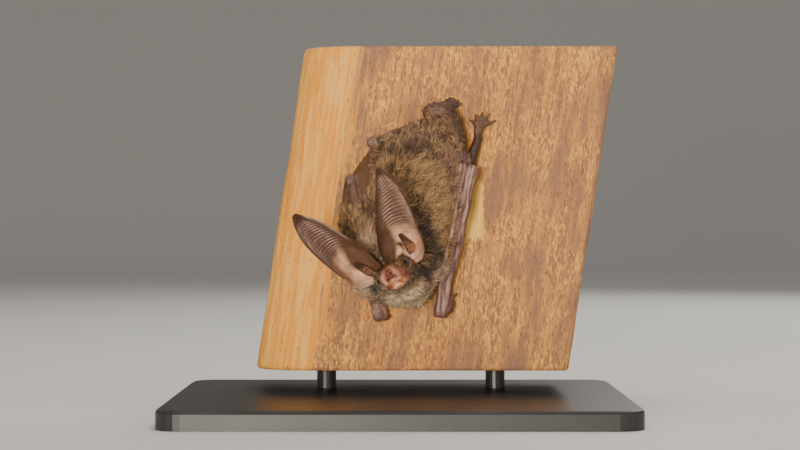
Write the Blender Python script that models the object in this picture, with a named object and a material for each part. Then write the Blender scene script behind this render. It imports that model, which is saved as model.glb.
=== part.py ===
"""Brown long-eared bat, life size, clinging head down to a cut length of roof timber on a plain stand.

Every place is given by at(across, off, up), in millimetres: across to the viewer's right, off the
timber's face towards the viewer, and up from the middle of the bat. The timber's face is the plane y = 0.
Left and right are the bat's own: it hangs with its back to the viewer, so its left is at +X.
"""

import math

import bmesh
import bpy
import numpy as np
from mathutils import Matrix, Vector

MM = 0.001
GAP = 0.3  # clearance between neighbouring solids

# The stand and the timber
BAT_HEIGHT = 45.0  # the bat's middle above the table
BASE_SIZE = (108.0, 90.0, 4.5)
BASE_CORNER = 6.0
BASE_EDGE = 0.8
ROD_RADIUS = 2.4
ROD_SPREAD = 21.0  # each rod's distance from the middle of the stand
ROD_BITE = 7.0  # how far a rod runs up into the timber
ROD_SEAT = 2.5  # how far it runs down into the base
BEAM_FOOT = 10.0  # the timber's lower cut above the table
BEAM_TOP = 88.0
BEAM_LEAN = 8.6  # degrees from upright, top to the viewer's right
BEAM_LEFT, BEAM_RIGHT = -30.0, 46.0  # its sides, level with the bat's middle
BEAM_DEPTH = 38.0
WANE = (14.5, 11.0)  # the round left arris: across, and back from the face
BEAM_ARRIS = 1.6

# The bat
EYE_RADIUS = 1.05
EYE_PLACE = (3.3, -0.1, -0.1)  # from the point between the eyes: out to the side, forward, up
EYES_MIDDLE = (-1.8, 20.5, -10.6)
HEAD_ROLL = 35.0  # the crown leans to the viewer's left
HEAD_TURN = 5.0  # the nose turns to the viewer's left
EAR_THICKNESS = 0.7
MEMBRANE_THICKNESS = 0.7

# Triangles that each solid is thinned to; those not named are thinned to the last
BUDGET = {
    "body": 1200,  # trunk and neck before they are parted
    "skull": 2200,  # head, muzzle and nose before they are parted
    "trunk": 860,
    "neck": 380,
    "head": 860,
    "muzzle": 360,
    "nose": 140,
    "ear_left": 520,
    "ear_right": 520,
    "wing_membrane_left": 600,
    "wing_membrane_right": 600,
    "foot_left": 560,
    "foot_right": 500,
    "thumb_left": 200,
    "thumb_right": 170,
    "other": 190,
}

ACROSS, OFF, UP = Vector((1, 0, 0)), Vector((0, -1, 0)), Vector((0, 0, 1))


def at(across, off, up):
    """The point that far across, off the timber and above the bat's middle."""
    return Vector((across, -off, up + BAT_HEIGHT)) * MM


# ---------------------------------------------------------------- materials


def material(name, colour, roughness, metallic=0.0):
    made = bpy.data.materials.new(name)
    made.use_nodes = True
    shader = made.node_tree.nodes["Principled BSDF"]
    shader.inputs["Base Color"].default_value = (*colour, 1.0)
    shader.inputs["Roughness"].default_value = roughness
    shader.inputs["Metallic"].default_value = metallic
    return made


def materials():
    return {
        "fur": material("fur", (0.16, 0.10, 0.055), 0.9),
        "ear_skin": material("ear_skin", (0.20, 0.12, 0.085), 0.55),
        "face_skin": material("face_skin", (0.42, 0.20, 0.14), 0.5),
        "wing_skin": material("wing_skin", (0.11, 0.065, 0.058), 0.5),
        "eye": material("eye", (0.01, 0.007, 0.005), 0.05),
        "timber": material("timber", (0.42, 0.27, 0.14), 0.8),
        "stand": material("stand", (0.05, 0.05, 0.05), 0.4),
    }


# ---------------------------------------------------------------- making meshes


def new_object(name, points, faces, skin):
    mesh = bpy.data.meshes.new(name)
    mesh.from_pydata([tuple(p) for p in points], [], faces)
    made = bpy.data.objects.new(name, mesh)
    bpy.context.scene.collection.objects.link(made)
    mesh.materials.append(skin)
    face_out(mesh)
    mesh.shade_smooth()
    return made


def face_out(mesh):
    """Turns every face of a closed mesh outwards."""
    work = bmesh.new()
    work.from_mesh(mesh)
    bmesh.ops.recalc_face_normals(work, faces=work.faces)
    if work.calc_volume(signed=True) < 0:
        bmesh.ops.reverse_faces(work, faces=work.faces)
    work.to_mesh(mesh)
    work.free()


def settle(made):
    """Puts the result of an object's modifiers into its mesh."""
    graph = bpy.context.evaluated_depsgraph_get()
    mesh = bpy.data.meshes.new_from_object(made.evaluated_get(graph))
    made.modifiers.clear()
    made.data = mesh


def curve_through(stations, count):
    """Rows of numbers along the smooth Catmull-Rom curve through the stations' rows."""
    rows = np.array(stations, float)
    ends = np.vstack([2 * rows[0] - rows[1], rows, 2 * rows[-1] - rows[-2]])
    found = []
    for share in np.linspace(0, len(rows) - 1, count):
        k = min(int(share), len(rows) - 2)
        t = share - k
        a, b, c, d = ends[k : k + 4]
        found.append(
            0.5 * (2 * b + (c - a) * t + (2 * a - 5 * b + 4 * c - d) * t**2 + (3 * b - a - 3 * c + d) * t**3)
        )
    return np.array(found)


def limb(name, stations, skin, rings=11, around=10):
    """A closed tube with domed ends through stations of (across, off, up, half width, half depth).
    The width lies level."""
    rows = curve_through(stations, rings)
    spine = [at(*row[:3]) for row in rows]
    points, faces = [], []
    for i, (centre, row) in enumerate(zip(spine, rows)):
        along = (spine[min(i + 1, rings - 1)] - spine[max(i - 1, 0)]).normalized()
        side = (ACROSS - along * ACROSS.dot(along)).normalized()
        deep = along.cross(side)
        domes = [(0.0, 1.0)]
        if i == 0:
            domes = [(-math.sin(a), math.cos(a)) for a in (1.2, 0.65)] + domes
        if i == rings - 1:
            domes = domes + [(math.sin(a), math.cos(a)) for a in (0.65, 1.2)]
        for ahead, size in domes:
            middle = centre + along * ahead * min(row[3], row[4]) * MM
            for k in range(around):
                turn = 2 * math.pi * k / around
                reach = side * math.cos(turn) * row[3] + deep * math.sin(turn) * row[4]
                points.append(middle + reach * size * MM)
    loops = len(points) // around
    for ring in range(loops - 1):
        for k in range(around):
            a, b = ring * around + k, ring * around + (k + 1) % around
            faces.append((a, b, b + around, a + around))
    faces.append(tuple(range(around))[::-1])
    faces.append(tuple((loops - 1) * around + k for k in range(around)))
    return new_object(name, points, faces, skin)


def ball(name, place, radii, frame, skin, around=16, rings=10):
    """An ellipsoid whose three radii lie along a frame's columns, centred on a point in metres."""
    points = [place + frame @ Vector((0, 0, radii[2])) * MM]
    for r in range(1, rings):
        tilt = math.pi * r / rings
        for k in range(around):
            turn = 2 * math.pi * k / around
            x, y, z = math.sin(tilt) * math.cos(turn), math.sin(tilt) * math.sin(turn), math.cos(tilt)
            points.append(place + frame @ Vector((x * radii[0], y * radii[1], z * radii[2])) * MM)
    points.append(place - frame @ Vector((0, 0, radii[2])) * MM)
    last = len(points) - 1
    faces = []
    for k in range(around):
        n = (k + 1) % around
        faces.append((0, 1 + k, 1 + n))
        for r in range(rings - 2):
            a, b = 1 + r * around + k, 1 + r * around + n
            faces.append((a, a + around, b + around, b))
        faces.append((last, last - around + n, last - around + k))
    return new_object(name, points, faces, skin)


def sheet(name, surface, thickness, skin, long=14, wide=10):
    """A closed shell of even thickness round surface(u, v), with u and v from 0 to 1."""
    points = [surface(i / (long - 1), j / (wide - 1)) for i in range(long) for j in range(wide)]
    faces = [
        (i * wide + j, i * wide + j + 1, (i + 1) * wide + j + 1, (i + 1) * wide + j)
        for i in range(long - 1)
        for j in range(wide - 1)
    ]
    made = new_object(name, points, faces, skin)
    shell = made.modifiers.new("shell", "SOLIDIFY")
    shell.thickness = thickness * MM
    shell.offset = 0
    shell.use_even_offset = False
    settle(made)
    face_out(made.data)
    return made


def thinned(made, budget):
    """Collapses a mesh's least needed edges until it has about so many triangles."""
    count = sum(len(face.vertices) - 2 for face in made.data.polygons)
    if count > budget:
        thin = made.modifiers.new("thin", "DECIMATE")
        thin.ratio = budget / count
        settle(made)
    return made


def whole(name, pieces, skin, voxel, smooth, budget):
    """The pieces melted into one body: a voxel remesh of them together, smoothed, then thinned."""
    work = bmesh.new()
    for piece in pieces:
        work.from_mesh(piece.data)
        bpy.data.objects.remove(piece)
    mesh = bpy.data.meshes.new(name)
    work.to_mesh(mesh)
    work.free()
    made = bpy.data.objects.new(name, mesh)
    bpy.context.scene.collection.objects.link(made)
    melt = made.modifiers.new("melt", "REMESH")
    melt.mode = "VOXEL"
    melt.voxel_size = voxel * MM
    soften = made.modifiers.new("soften", "SMOOTH")
    soften.factor = 0.5
    soften.iterations = smooth
    settle(made)
    thinned(made, budget)
    made.data.materials.clear()
    made.data.materials.append(skin)
    made.data.shade_smooth()
    return made


# ---------------------------------------------------------------- fitting solids together


def grown(made, by=GAP):
    """A copy of a solid, swollen by the clearance, to cut its neighbours with."""
    work = bmesh.new()
    work.from_mesh(made.data)
    bmesh.ops.triangulate(work, faces=work.faces)
    work.normal_update()
    for v in work.verts:
        v.co += v.normal * by * MM
    mesh = bpy.data.meshes.new(made.name + "_grown")
    work.to_mesh(mesh)
    work.free()
    cutter = bpy.data.objects.new(mesh.name, mesh)
    bpy.context.scene.collection.objects.link(cutter)
    cutter.hide_render = True
    return cutter


def boxes_meet(a, b):
    corners = [np.array([v.co for v in o.data.vertices]) for o in (a, b)]
    low, high = [c.min(0) for c in corners], [c.max(0) for c in corners]
    return all(low[0] < high[1]) and all(low[1] < high[0])


def cut_with(made, cutter):
    """Takes the cutter out of a solid."""
    cut = made.modifiers.new("cut", "BOOLEAN")
    cut.operation = "DIFFERENCE"
    cut.solver = "EXACT"
    cut.use_self = True
    cut.object = cutter
    settle(made)
    bpy.data.objects.remove(cutter)


def islands(mesh):
    """The mesh's separate bodies, each as a list of vertex numbers, the largest first."""
    work = bmesh.new()
    work.from_mesh(mesh)
    seen, found = set(), []
    for start in work.verts:
        if start.index in seen:
            continue
        seen.add(start.index)
        body, queue = [], [start]
        while queue:
            here = queue.pop()
            body.append(here.index)
            for edge in here.link_edges:
                other = edge.other_vert(here)
                if other.index not in seen:
                    seen.add(other.index)
                    queue.append(other)
        found.append(body)
    work.free()
    return sorted(found, key=len, reverse=True)


def keep_only(made, body):
    """Leaves one of a mesh's separate bodies."""
    kept = set(body)
    work = bmesh.new()
    work.from_mesh(made.data)
    bmesh.ops.delete(work, geom=[v for v in work.verts if v.index not in kept], context="VERTS")
    work.to_mesh(made.data)
    work.free()


def clear_of(made, neighbours, by=GAP):
    """Cuts a solid back from its neighbours by the clearance, and drops the crumbs."""
    for other in neighbours:
        if boxes_meet(made, other):
            cut_with(made, grown(other, by))
    bodies = islands(made.data)
    if len(bodies) > 1:
        keep_only(made, bodies[0])
    thinned(made, BUDGET.get(made.name, BUDGET["other"]))
    made.data.shade_smooth()
    return made


def part_by_plane(made, place, normal, names, skin):
    """Parts a solid by a thin cut square to normal: names[0] lies behind the cut, names[1] ahead."""
    turn = normal.to_track_quat("Z", "Y").to_matrix()
    pieces = []
    for name, sign in zip(names, (-1, 1)):
        block = 40.0
        middle = place + normal * sign * (block + GAP / 2) * MM
        copy = bpy.data.objects.new(name, made.data.copy())
        bpy.context.scene.collection.objects.link(copy)
        box = bmesh.new()
        bmesh.ops.create_cube(box, size=2 * block * MM)
        mesh = bpy.data.meshes.new("knife")
        box.to_mesh(mesh)
        box.free()
        knife = bpy.data.objects.new("knife", mesh)
        knife.matrix_world = Matrix.Translation(middle) @ turn.to_4x4()
        knife.hide_render = True
        bpy.context.scene.collection.objects.link(knife)
        keep = copy.modifiers.new("keep", "BOOLEAN")
        keep.operation = "INTERSECT"
        keep.solver = "EXACT"
        keep.object = knife
        settle(copy)
        bpy.data.objects.remove(knife)
        copy.data.materials.clear()
        copy.data.materials.append(skin)
        bodies = islands(copy.data)
        if len(bodies) > 1:
            keep_only(copy, bodies[0])
        pieces.append(copy)
    bpy.data.objects.remove(made)
    for name, piece in zip(names, pieces):
        piece.name = name
    return pieces


# ---------------------------------------------------------------- stand and timber


def stand_base(skin):
    work = bmesh.new()
    bmesh.ops.create_cube(work, size=1.0)
    for v in work.verts:
        v.co = Vector((v.co.x * BASE_SIZE[0], v.co.y * BASE_SIZE[1], (v.co.z + 0.5) * BASE_SIZE[2])) * MM
    uprights = [e for e in work.edges if abs(e.verts[0].co.z - e.verts[1].co.z) > MM]
    bmesh.ops.bevel(work, geom=uprights, offset=BASE_CORNER * MM, segments=6, profile=0.5, affect="EDGES")
    rim = [e for e in work.edges if all(v.co.z > (BASE_SIZE[2] - 0.01) * MM for v in e.verts)]
    bmesh.ops.bevel(work, geom=rim, offset=BASE_EDGE * MM, segments=2, profile=0.5, affect="EDGES")
    mesh = bpy.data.meshes.new("stand_base")
    work.to_mesh(mesh)
    work.free()
    made = bpy.data.objects.new("stand_base", mesh)
    bpy.context.scene.collection.objects.link(made)
    mesh.materials.append(skin)
    return made


def upright(name, x, y, low, high, radius, skin, around=20):
    """A plain round rod or hole-cutter from one height to another, in millimetres above the table."""
    turns = [2 * math.pi * k / around for k in range(around)]
    points = [
        Vector((x + radius * math.cos(turn), y + radius * math.sin(turn), z)) * MM
        for z in (low, high)
        for turn in turns
    ]
    faces = [(k, (k + 1) % around, (k + 1) % around + around, k + around) for k in range(around)]
    faces += [tuple(range(around))[::-1], tuple(range(around, 2 * around))]
    return new_object(name, points, faces, skin)


def lean_at(height):
    """How far the leaning timber has moved across at a height above the table."""
    return (height - BAT_HEIGHT) * math.tan(math.radians(BEAM_LEAN))


def perch_beam(skin):
    """The timber: a level section with one round wane arris, swept up the lean and cut level."""
    section = [
        (BEAM_LEFT + WANE[0] * (1 - math.cos(a)), WANE[1] * (1 - math.sin(a)))
        for a in np.linspace(0, math.pi / 2, 7)
    ]
    section += [
        (BEAM_RIGHT - BEAM_ARRIS, 0.0),
        (BEAM_RIGHT, BEAM_ARRIS),
        (BEAM_RIGHT, BEAM_DEPTH - BEAM_ARRIS),
        (BEAM_RIGHT - BEAM_ARRIS, BEAM_DEPTH),
        (BEAM_LEFT + BEAM_ARRIS, BEAM_DEPTH),
        (BEAM_LEFT, BEAM_DEPTH - BEAM_ARRIS),
    ]
    around = len(section)
    points = [Vector((x + lean_at(z), y, z)) * MM for z in (BEAM_FOOT, BEAM_TOP) for x, y in section]
    faces = [(k, (k + 1) % around, (k + 1) % around + around, k + around) for k in range(around)]
    faces += [tuple(range(around))[::-1], tuple(range(around, 2 * around))]
    return new_object("perch_beam", points, faces, skin)


def stand(skins):
    base = stand_base(skins["stand"])
    beam = perch_beam(skins["timber"])
    rods = []
    middle = (BEAM_LEFT + BEAM_RIGHT) / 2 + lean_at(BEAM_FOOT)
    for name, x in (("stand_rod_right", middle - ROD_SPREAD), ("stand_rod_left", middle + ROD_SPREAD)):
        y = BEAM_DEPTH / 2
        low, high = BASE_SIZE[2] - ROD_SEAT, BEAM_FOOT + ROD_BITE
        for solid in (base, beam):
            cut_with(solid, upright("bore", x, y, low - GAP, high + GAP, ROD_RADIUS + GAP, skins["stand"]))
        rods.append(upright(name, x, y, low, high, ROD_RADIUS, skins["stand"]))
    return [base, beam, *rods]


# ---------------------------------------------------------------- head


def head_frame():
    """Columns: the bat's left, forward along the nose, and up to the crown."""
    roll, turn = math.radians(HEAD_ROLL), math.radians(HEAD_TURN)
    crown = ACROSS * -math.sin(roll) + UP * math.cos(roll)
    level = ACROSS * math.cos(roll) + UP * math.sin(roll)
    nose = OFF * math.cos(turn) - level * math.sin(turn)
    left = level * math.cos(turn) + OFF * math.sin(turn)
    return Matrix((left, nose, crown)).transposed()


HEAD = head_frame()


def on_head(side, forward, up):
    """The point that far to the bat's left, forward and up from the point between the eyes."""
    return at(*EYES_MIDDLE) + HEAD @ Vector((side, forward, up)) * MM


def head_rounds(skin):
    """The furred head as overlapping rounds: (side, forward, up), then their radii."""
    middle = [
        ((0, -5.6, 0.6), (6.0, 5.6, 5.2)),  # cranium
        ((0, -0.9, 0.5), (4.0, 4.4, 3.0)),  # brow
        ((0, 2.6, -1.2), (2.8, 4.6, 2.3)),  # bridge of the muzzle
        ((0, 5.7, -1.2), (1.9, 1.7, 1.5)),  # nose end
        ((0, 3.3, -3.2), (2.1, 2.9, 1.3)),  # chin
        ((0, -1.6, -3.2), (4.1, 4.6, 2.9)),  # jaw
        ((0, -6.5, -4.0), (6.8, 5.0, 4.6)),  # throat
    ]
    paired = [
        ((2.1, 2.9, -0.5), (1.6, 2.2, 1.6)),  # scent gland swelling beside the nose
        ((3.6, -2.6, -1.6), (2.3, 3.0, 2.7)),  # cheek
    ]
    rounds = [ball("round", on_head(*c), r, HEAD, skin) for c, r in middle]
    for sign in (-1, 1):
        rounds += [ball("round", on_head(sign * c[0], *c[1:]), r, HEAD, skin) for c, r in paired]
    return rounds


def leant_out(stations, reach):
    """The edge curves with their height off the root stretched by reach. Each point slides along the
    line to the viewer, so the outline from the front stays as it is."""

    def slid(point):
        across, off, up = point
        out = LEAF_ROOT + (off - LEAF_ROOT) * reach
        closer = (EYE_DISTANCE - out) / (EYE_DISTANCE - off)
        return (across * closer, out, up * closer)

    return [(slid(first), slid(second), wide) for first, second, wide in stations]


def between_edges(stations, behind):
    """surface(u, v) of a hollow leaf between two edge curves: u runs from its root to its tip, v from
    the first edge to the second. Each section is an arc with the given half opening in degrees,
    hollowed towards behind."""
    count = 48
    first = curve_through([s[0] for s in stations], count)
    second = curve_through([s[1] for s in stations], count)
    opening = curve_through([[s[2]] for s in stations], count)[:, 0]
    behind = Vector(behind)

    def row(table, u):
        place = u * (count - 1)
        k = min(int(place), count - 2)
        return table[k] * (1 - place + k) + table[k + 1] * (place - k)

    def surface(u, v):
        a, b = at(*row(first, u)), at(*row(second, u))
        ahead = (at(*row(first, min(u + 0.02, 1))) + at(*row(second, min(u + 0.02, 1)))) / 2
        past = (at(*row(first, max(u - 0.02, 0))) + at(*row(second, max(u - 0.02, 0)))) / 2
        along = (ahead - past).normalized()
        across = (b - a) - along * (b - a).dot(along)
        half = across.length / 2
        across.normalize()
        away = along.cross(across)
        away *= 1 if away.dot(behind) > 0 else -1
        wide = math.radians(float(row(opening, u)))
        radius = half / math.sin(wide)
        turn = (2 * v - 1) * wide
        middle = (a + b) / 2
        return middle + across * radius * math.sin(turn) + away * radius * (math.cos(turn) - math.cos(wide))

    return surface


# ---------------------------------------------------------------- feet and thumbs


def clawed(name, parts, skin):
    """Toes, palm and claws melted into one body."""
    pieces = [limb("digit", stations, skin, rings=9, around=8) for stations in parts]
    return whole(name, pieces, skin, voxel=0.17, smooth=3, budget=BUDGET[name])


def toe(root, tip, arch=1.2):
    """Stations of one toe, arched off the timber, with a hooked claw that reaches down to it."""
    (x0, o0, z0), (x1, o1, z1) = root, tip
    way = math.hypot(x1 - x0, z1 - z0)
    ux, uz = (x1 - x0) / way, (z1 - z0) / way
    return [
        (x0, o0, z0, 0.62, 0.6),
        (x0 + (x1 - x0) * 0.45, (o0 + o1) / 2 + arch * 0.45, z0 + (z1 - z0) * 0.45, 0.47, 0.5),
        (x1 - ux * 1.5, o1 + arch * 0.5, z1 - uz * 1.5, 0.45, 0.45),
        (x1 - ux * 0.5, o1 + arch * 0.2, z1 - uz * 0.5, 0.36, 0.36),
        (x1 + ux * 0.1, o1 - 0.1, z1 + uz * 0.1, 0.3, 0.3),
    ]


def foot(name, palm, heel, tips, skin):
    palm_stations = [(*heel, 1.0, 0.9), (*palm, 1.35, 0.85)]
    return clawed(name, [palm_stations] + [toe(palm, tip) for tip in tips], skin)


# ---------------------------------------------------------------- the animal's stations, in millimetres


TRUNK = [  # across, off, up, half width, half depth of the furred body, rump to chest
    (8.2, 6.2, 21.6, 5.6, 4.8),
    (5.8, 7.1, 17.0, 9.0, 6.2),
    (3.8, 8.5, 11.0, 10.0, 7.7),
    (2.2, 9.3, 3.0, 10.3, 8.5),
    (0.2, 9.4, -4.5, 10.4, 8.7),
    (-1.2, 8.6, -10.0, 10.6, 7.6),
    (-2.0, 7.4, -14.6, 9.2, 4.6),
]
NAPE = ((-0.5, 9.0, -9.6), (0.0, -0.5, -0.87))  # a point on the cut across the neck, and its way
THIGH_RIGHT = [  # limbs: across, off, up, half width, half depth
    (6.2, 6.3, 22.0, 4.0, 3.9),
    (1.0, 6.2, 20.7, 3.1, 3.1),
    (-3.4, 6.2, 19.8, 2.3, 2.3),
    (-6.6, 6.2, 19.6, 1.5, 1.5),
]
THIGH_LEFT = [(9.5, 6.8, 17.0, 3.2, 3.2), (12.6, 6.2, 16.4, 2.3, 2.3), (15.3, 5.4, 15.8, 1.7, 1.7)]
FOREARM_LEFT = [
    (17.3, 6.9, 13.9, 1.35, 1.5),
    (16.5, 6.8, 10.7, 1.4, 1.5),
    (15.5, 6.2, 4.7, 1.3, 1.4),
    (14.5, 5.5, -1.2, 1.2, 1.3),
    (12.7, 4.4, -8.8, 1.05, 1.15),
    (11.4, 3.5, -14.5, 1.0, 1.1),
    (10.2, 2.7, -21.1, 1.35, 1.3),
]
FINGERS_LEFT = [
    (15.0, 5.6, 12.4, 1.1, 1.4),
    (14.4, 5.6, 9.6, 1.4, 1.7),
    (13.3, 5.3, 4.0, 1.35, 1.7),
    (12.3, 4.8, -1.8, 1.25, 1.6),
    (10.7, 4.1, -8.8, 1.15, 1.45),
    (9.8, 3.4, -14.5, 1.05, 1.3),
    (9.0, 2.7, -21.2, 1.1, 1.2),
]
THUMB_LEFT = [
    [(10.9, 2.4, -21.0, 0.75, 0.7), (12.0, 2.5, -20.2, 0.7, 0.65), (12.2, 2.5, -17.6, 0.6, 0.6)],
    [(12.2, 2.5, -17.8, 0.55, 0.55), (12.9, 2.0, -16.9, 0.4, 0.4), (13.6, 0.85, -16.5, 0.28, 0.28)],
]
FOREARM_RIGHT = [
    (-11.7, 6.0, 10.7, 1.45, 1.5),
    (-12.6, 5.2, 5.0, 1.35, 1.4),
    (-12.6, 4.3, -2.0, 1.25, 1.3),
    (-10.9, 3.3, -9.0, 1.1, 1.1),
    (-7.0, 2.7, -16.0, 1.0, 1.05),
    (-5.2, 2.5, -22.0, 1.35, 1.2),
]
FINGERS_RIGHT = [
    (-9.6, 4.2, 8.0, 1.0, 1.2),
    (-10.4, 3.6, 2.0, 1.2, 1.3),
    (-10.5, 2.9, -4.0, 1.2, 1.2),
    (-9.2, 2.3, -10.5, 1.1, 1.1),
    (-5.6, 2.0, -16.0, 1.05, 1.0),
    (-3.7, 1.9, -21.0, 0.95, 0.95),
]
THUMB_RIGHT = [
    [(-4.6, 2.2, -21.8, 0.7, 0.6), (-3.5, 2.3, -22.4, 0.6, 0.55)],
    [(-3.6, 2.3, -22.4, 0.5, 0.5), (-2.8, 1.9, -22.0, 0.4, 0.4), (-2.2, 0.85, -21.6, 0.28, 0.28)],
]
UPPER_ARM_LEFT = [(6.5, 8.6, -6.5, 2.4, 2.2), (11.0, 6.9, 4.0, 2.0, 1.9), (15.2, 6.5, 12.0, 1.5, 1.5)]
UPPER_ARM_RIGHT = [(-6.6, 9.0, -6.5, 2.4, 2.2), (-10.0, 7.2, 3.0, 2.0, 2.0), (-11.2, 6.2, 10.0, 1.5, 1.5)]
SHANK_LEFT = [(14.6, 2.9, 8.5, 1.5, 1.4), (16.7, 2.7, 15.0, 1.4, 1.3), (18.6, 2.2, 20.6, 1.05, 1.0)]
SHANK_RIGHT = [(-6.2, 3.7, 18.8, 1.3, 1.3), (1.0, 2.8, 21.4, 1.2, 1.2), (9.0, 2.2, 25.2, 1.0, 1.0)]
FOOT_LEFT = (  # palm, heel, then the toes' tips
    (18.9, 1.9, 23.3),
    (18.5, 2.1, 21.4),
    [(16.6, 0.9, 25.3), (18.0, 0.9, 26.5), (19.6, 0.9, 26.9), (21.4, 0.9, 26.7), (22.9, 0.9, 25.0)],
)
FOOT_RIGHT = (
    (11.3, 1.9, 27.0),
    (9.6, 2.1, 25.6),
    [(10.8, 0.9, 30.1), (11.9, 0.9, 30.5), (12.9, 0.9, 30.3), (13.8, 0.9, 29.8), (14.6, 0.9, 29.0)],
)
TAIL = [(8.8, 7.6, 24.6, 1.3, 1.2), (9.8, 5.6, 27.6, 1.0, 1.0), (10.2, 3.4, 27.2, 0.8, 0.8)]
EYE_DISTANCE = 480.0  # the front view is seen from this far off the wood
LEAF_ROOT = 18.5  # the ears and tragi spring from the head this far off the wood
EAR_REACH = 1.65  # brings the ears to the length of a grown bat's
TRAGUS_REACH = 1.9
EAR_LEFT = [  # inner edge, outer edge, half opening of the section in degrees; base to tip
    ((-3.2, 18.5, -8.9), (3.0, 19.5, -10.0), 118),
    ((-4.5, 20.4, -6.2), (5.0, 21.0, -7.8), 112),
    ((-5.1, 22.5, -3.6), (5.4, 22.2, -4.8), 98),
    ((-5.4, 25.0, -0.7), (3.9, 24.2, -1.0), 84),
    ((-5.6, 27.6, 3.4), (2.2, 26.7, 3.6), 70),
    ((-5.6, 29.8, 7.4), (0.0, 29.2, 7.6), 56),
    ((-5.6, 31.3, 11.0), (-2.7, 31.0, 10.8), 40),
    ((-5.5, 32.0, 13.0), (-4.4, 32.0, 12.7), 25),
]
EAR_RIGHT = [
    ((-5.4, 18.5, -9.0), (-5.6, 19.0, -14.0), 118),
    ((-7.3, 20.0, -6.8), (-9.6, 20.0, -14.4), 112),
    ((-9.4, 21.7, -4.6), (-12.6, 21.5, -12.4), 98),
    ((-11.9, 24.0, -3.1), (-15.1, 23.6, -10.4), 84),
    ((-14.9, 27.0, -1.0), (-18.4, 26.3, -7.6), 70),
    ((-18.0, 29.7, 0.8), (-21.3, 29.2, -4.3), 56),
    ((-21.1, 32.0, 2.0), (-23.1, 31.7, -1.1), 40),
    ((-23.5, 33.0, 2.7), (-24.1, 33.0, 1.7), 25),
]
TRAGUS_LEFT = [
    ((2.0, 19.2, -7.6), (4.4, 19.2, -6.4), 30),
    ((0.9, 20.8, -5.9), (4.3, 20.6, -4.2), 32),
    ((0.1, 22.3, -4.2), (2.3, 22.2, -2.6), 28),
    ((-1.0, 23.4, -2.6), (0.2, 23.4, -1.6), 20),
]
TRAGUS_RIGHT = [
    ((-6.0, 19.2, -12.6), (-7.0, 19.2, -9.6), 30),
    ((-7.9, 20.6, -12.1), (-8.6, 20.8, -8.8), 32),
    ((-9.7, 22.0, -10.6), (-9.9, 22.2, -8.2), 28),
    ((-11.4, 23.0, -8.9), (-11.1, 23.2, -7.8), 20),
]
WING_LEFT = [  # folded flight membrane, elbow to wrist: flank edge, finger edge, half opening
    ((12.4, 9.6, 14.6), (15.6, 8.0, 14.8), 25),
    ((12.7, 10.4, 10.5), (15.0, 8.0, 10.8), 25),
    ((12.0, 10.4, 4.0), (14.2, 7.7, 4.2), 25),
    ((11.1, 10.2, -2.0), (13.4, 7.2, -1.8), 25),
    ((9.7, 9.6, -8.5), (11.8, 6.3, -8.6), 25),
    ((8.4, 7.6, -13.0), (10.8, 5.5, -13.4), 25),
]
WING_RIGHT = [
    ((-3.0, 8.0, 17.4), (-6.8, 5.4, 17.8), 20),
    ((-5.6, 8.0, 13.0), (-9.4, 5.0, 14.6), 20),
    ((-8.2, 7.6, 8.0), (-11.8, 4.0, 11.0), 20),
    ((-8.8, 6.2, 2.0), (-14.0, 4.0, 4.0), 20),
    ((-8.8, 4.6, -5.0), (-13.9, 3.2, -3.0), 20),
    ((-7.6, 3.4, -10.0), (-12.4, 2.4, -9.0), 20),
]
TAIL_MEMBRANE = [  # right ankle, over the tail, to the left thigh: body edge, free edge, half opening
    ((5.8, 8.2, 24.6), (5.9, 5.8, 27.4), 35),
    ((7.4, 8.8, 25.4), (7.6, 5.2, 28.7), 45),
    ((9.6, 8.8, 25.4), (10.6, 4.4, 29.0), 50),
    ((11.8, 8.2, 23.6), (12.9, 3.8, 26.6), 50),
    ((13.2, 7.4, 20.6), (14.6, 3.8, 21.7), 45),
    ((14.0, 6.9, 18.0), (15.4, 4.2, 17.8), 35),
]


def eyes(skin):
    found = []
    for name, sign in (("eye_left", 1), ("eye_right", -1)):
        place = on_head(sign * EYE_PLACE[0], *EYE_PLACE[1:])
        found.append(ball(name, place, (EYE_RADIUS,) * 3, HEAD, skin, around=12, rings=8))
    return found


def furred_body(skins, firm):
    """Trunk, thighs, neck and head, each melted smooth; the face is parted from the head by thin cuts."""
    fur, face = skins["fur"], skins["face_skin"]
    body = whole("body", [limb("round", TRUNK, fur, rings=20, around=24)], fur, 0.8, 4, BUDGET["body"])
    parted = part_by_plane(body, at(*NAPE[0]), Vector(NAPE[1]).normalized(), ("trunk", "neck"), fur)
    found = [clear_of(solid, firm) for solid in parted]
    for name, stations in (("thigh_left", THIGH_LEFT), ("thigh_right", THIGH_RIGHT)):
        found.append(clear_of(limb(name, stations, fur, rings=14, around=14), firm + found))
    head = whole("skull", head_rounds(fur), fur, 0.5, 6, BUDGET["skull"])
    nose_way = HEAD @ Vector((0, 1, 0))
    head, muzzle = part_by_plane(head, on_head(0, 1.3, 0), nose_way, ("head", "muzzle"), face)
    muzzle, nose = part_by_plane(muzzle, on_head(0, 5.6, 0), nose_way, ("muzzle", "nose"), face)
    head.data.materials.clear()
    head.data.materials.append(fur)
    found += [clear_of(head, firm + found), clear_of(muzzle, firm), clear_of(nose, firm)]
    return found


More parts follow.
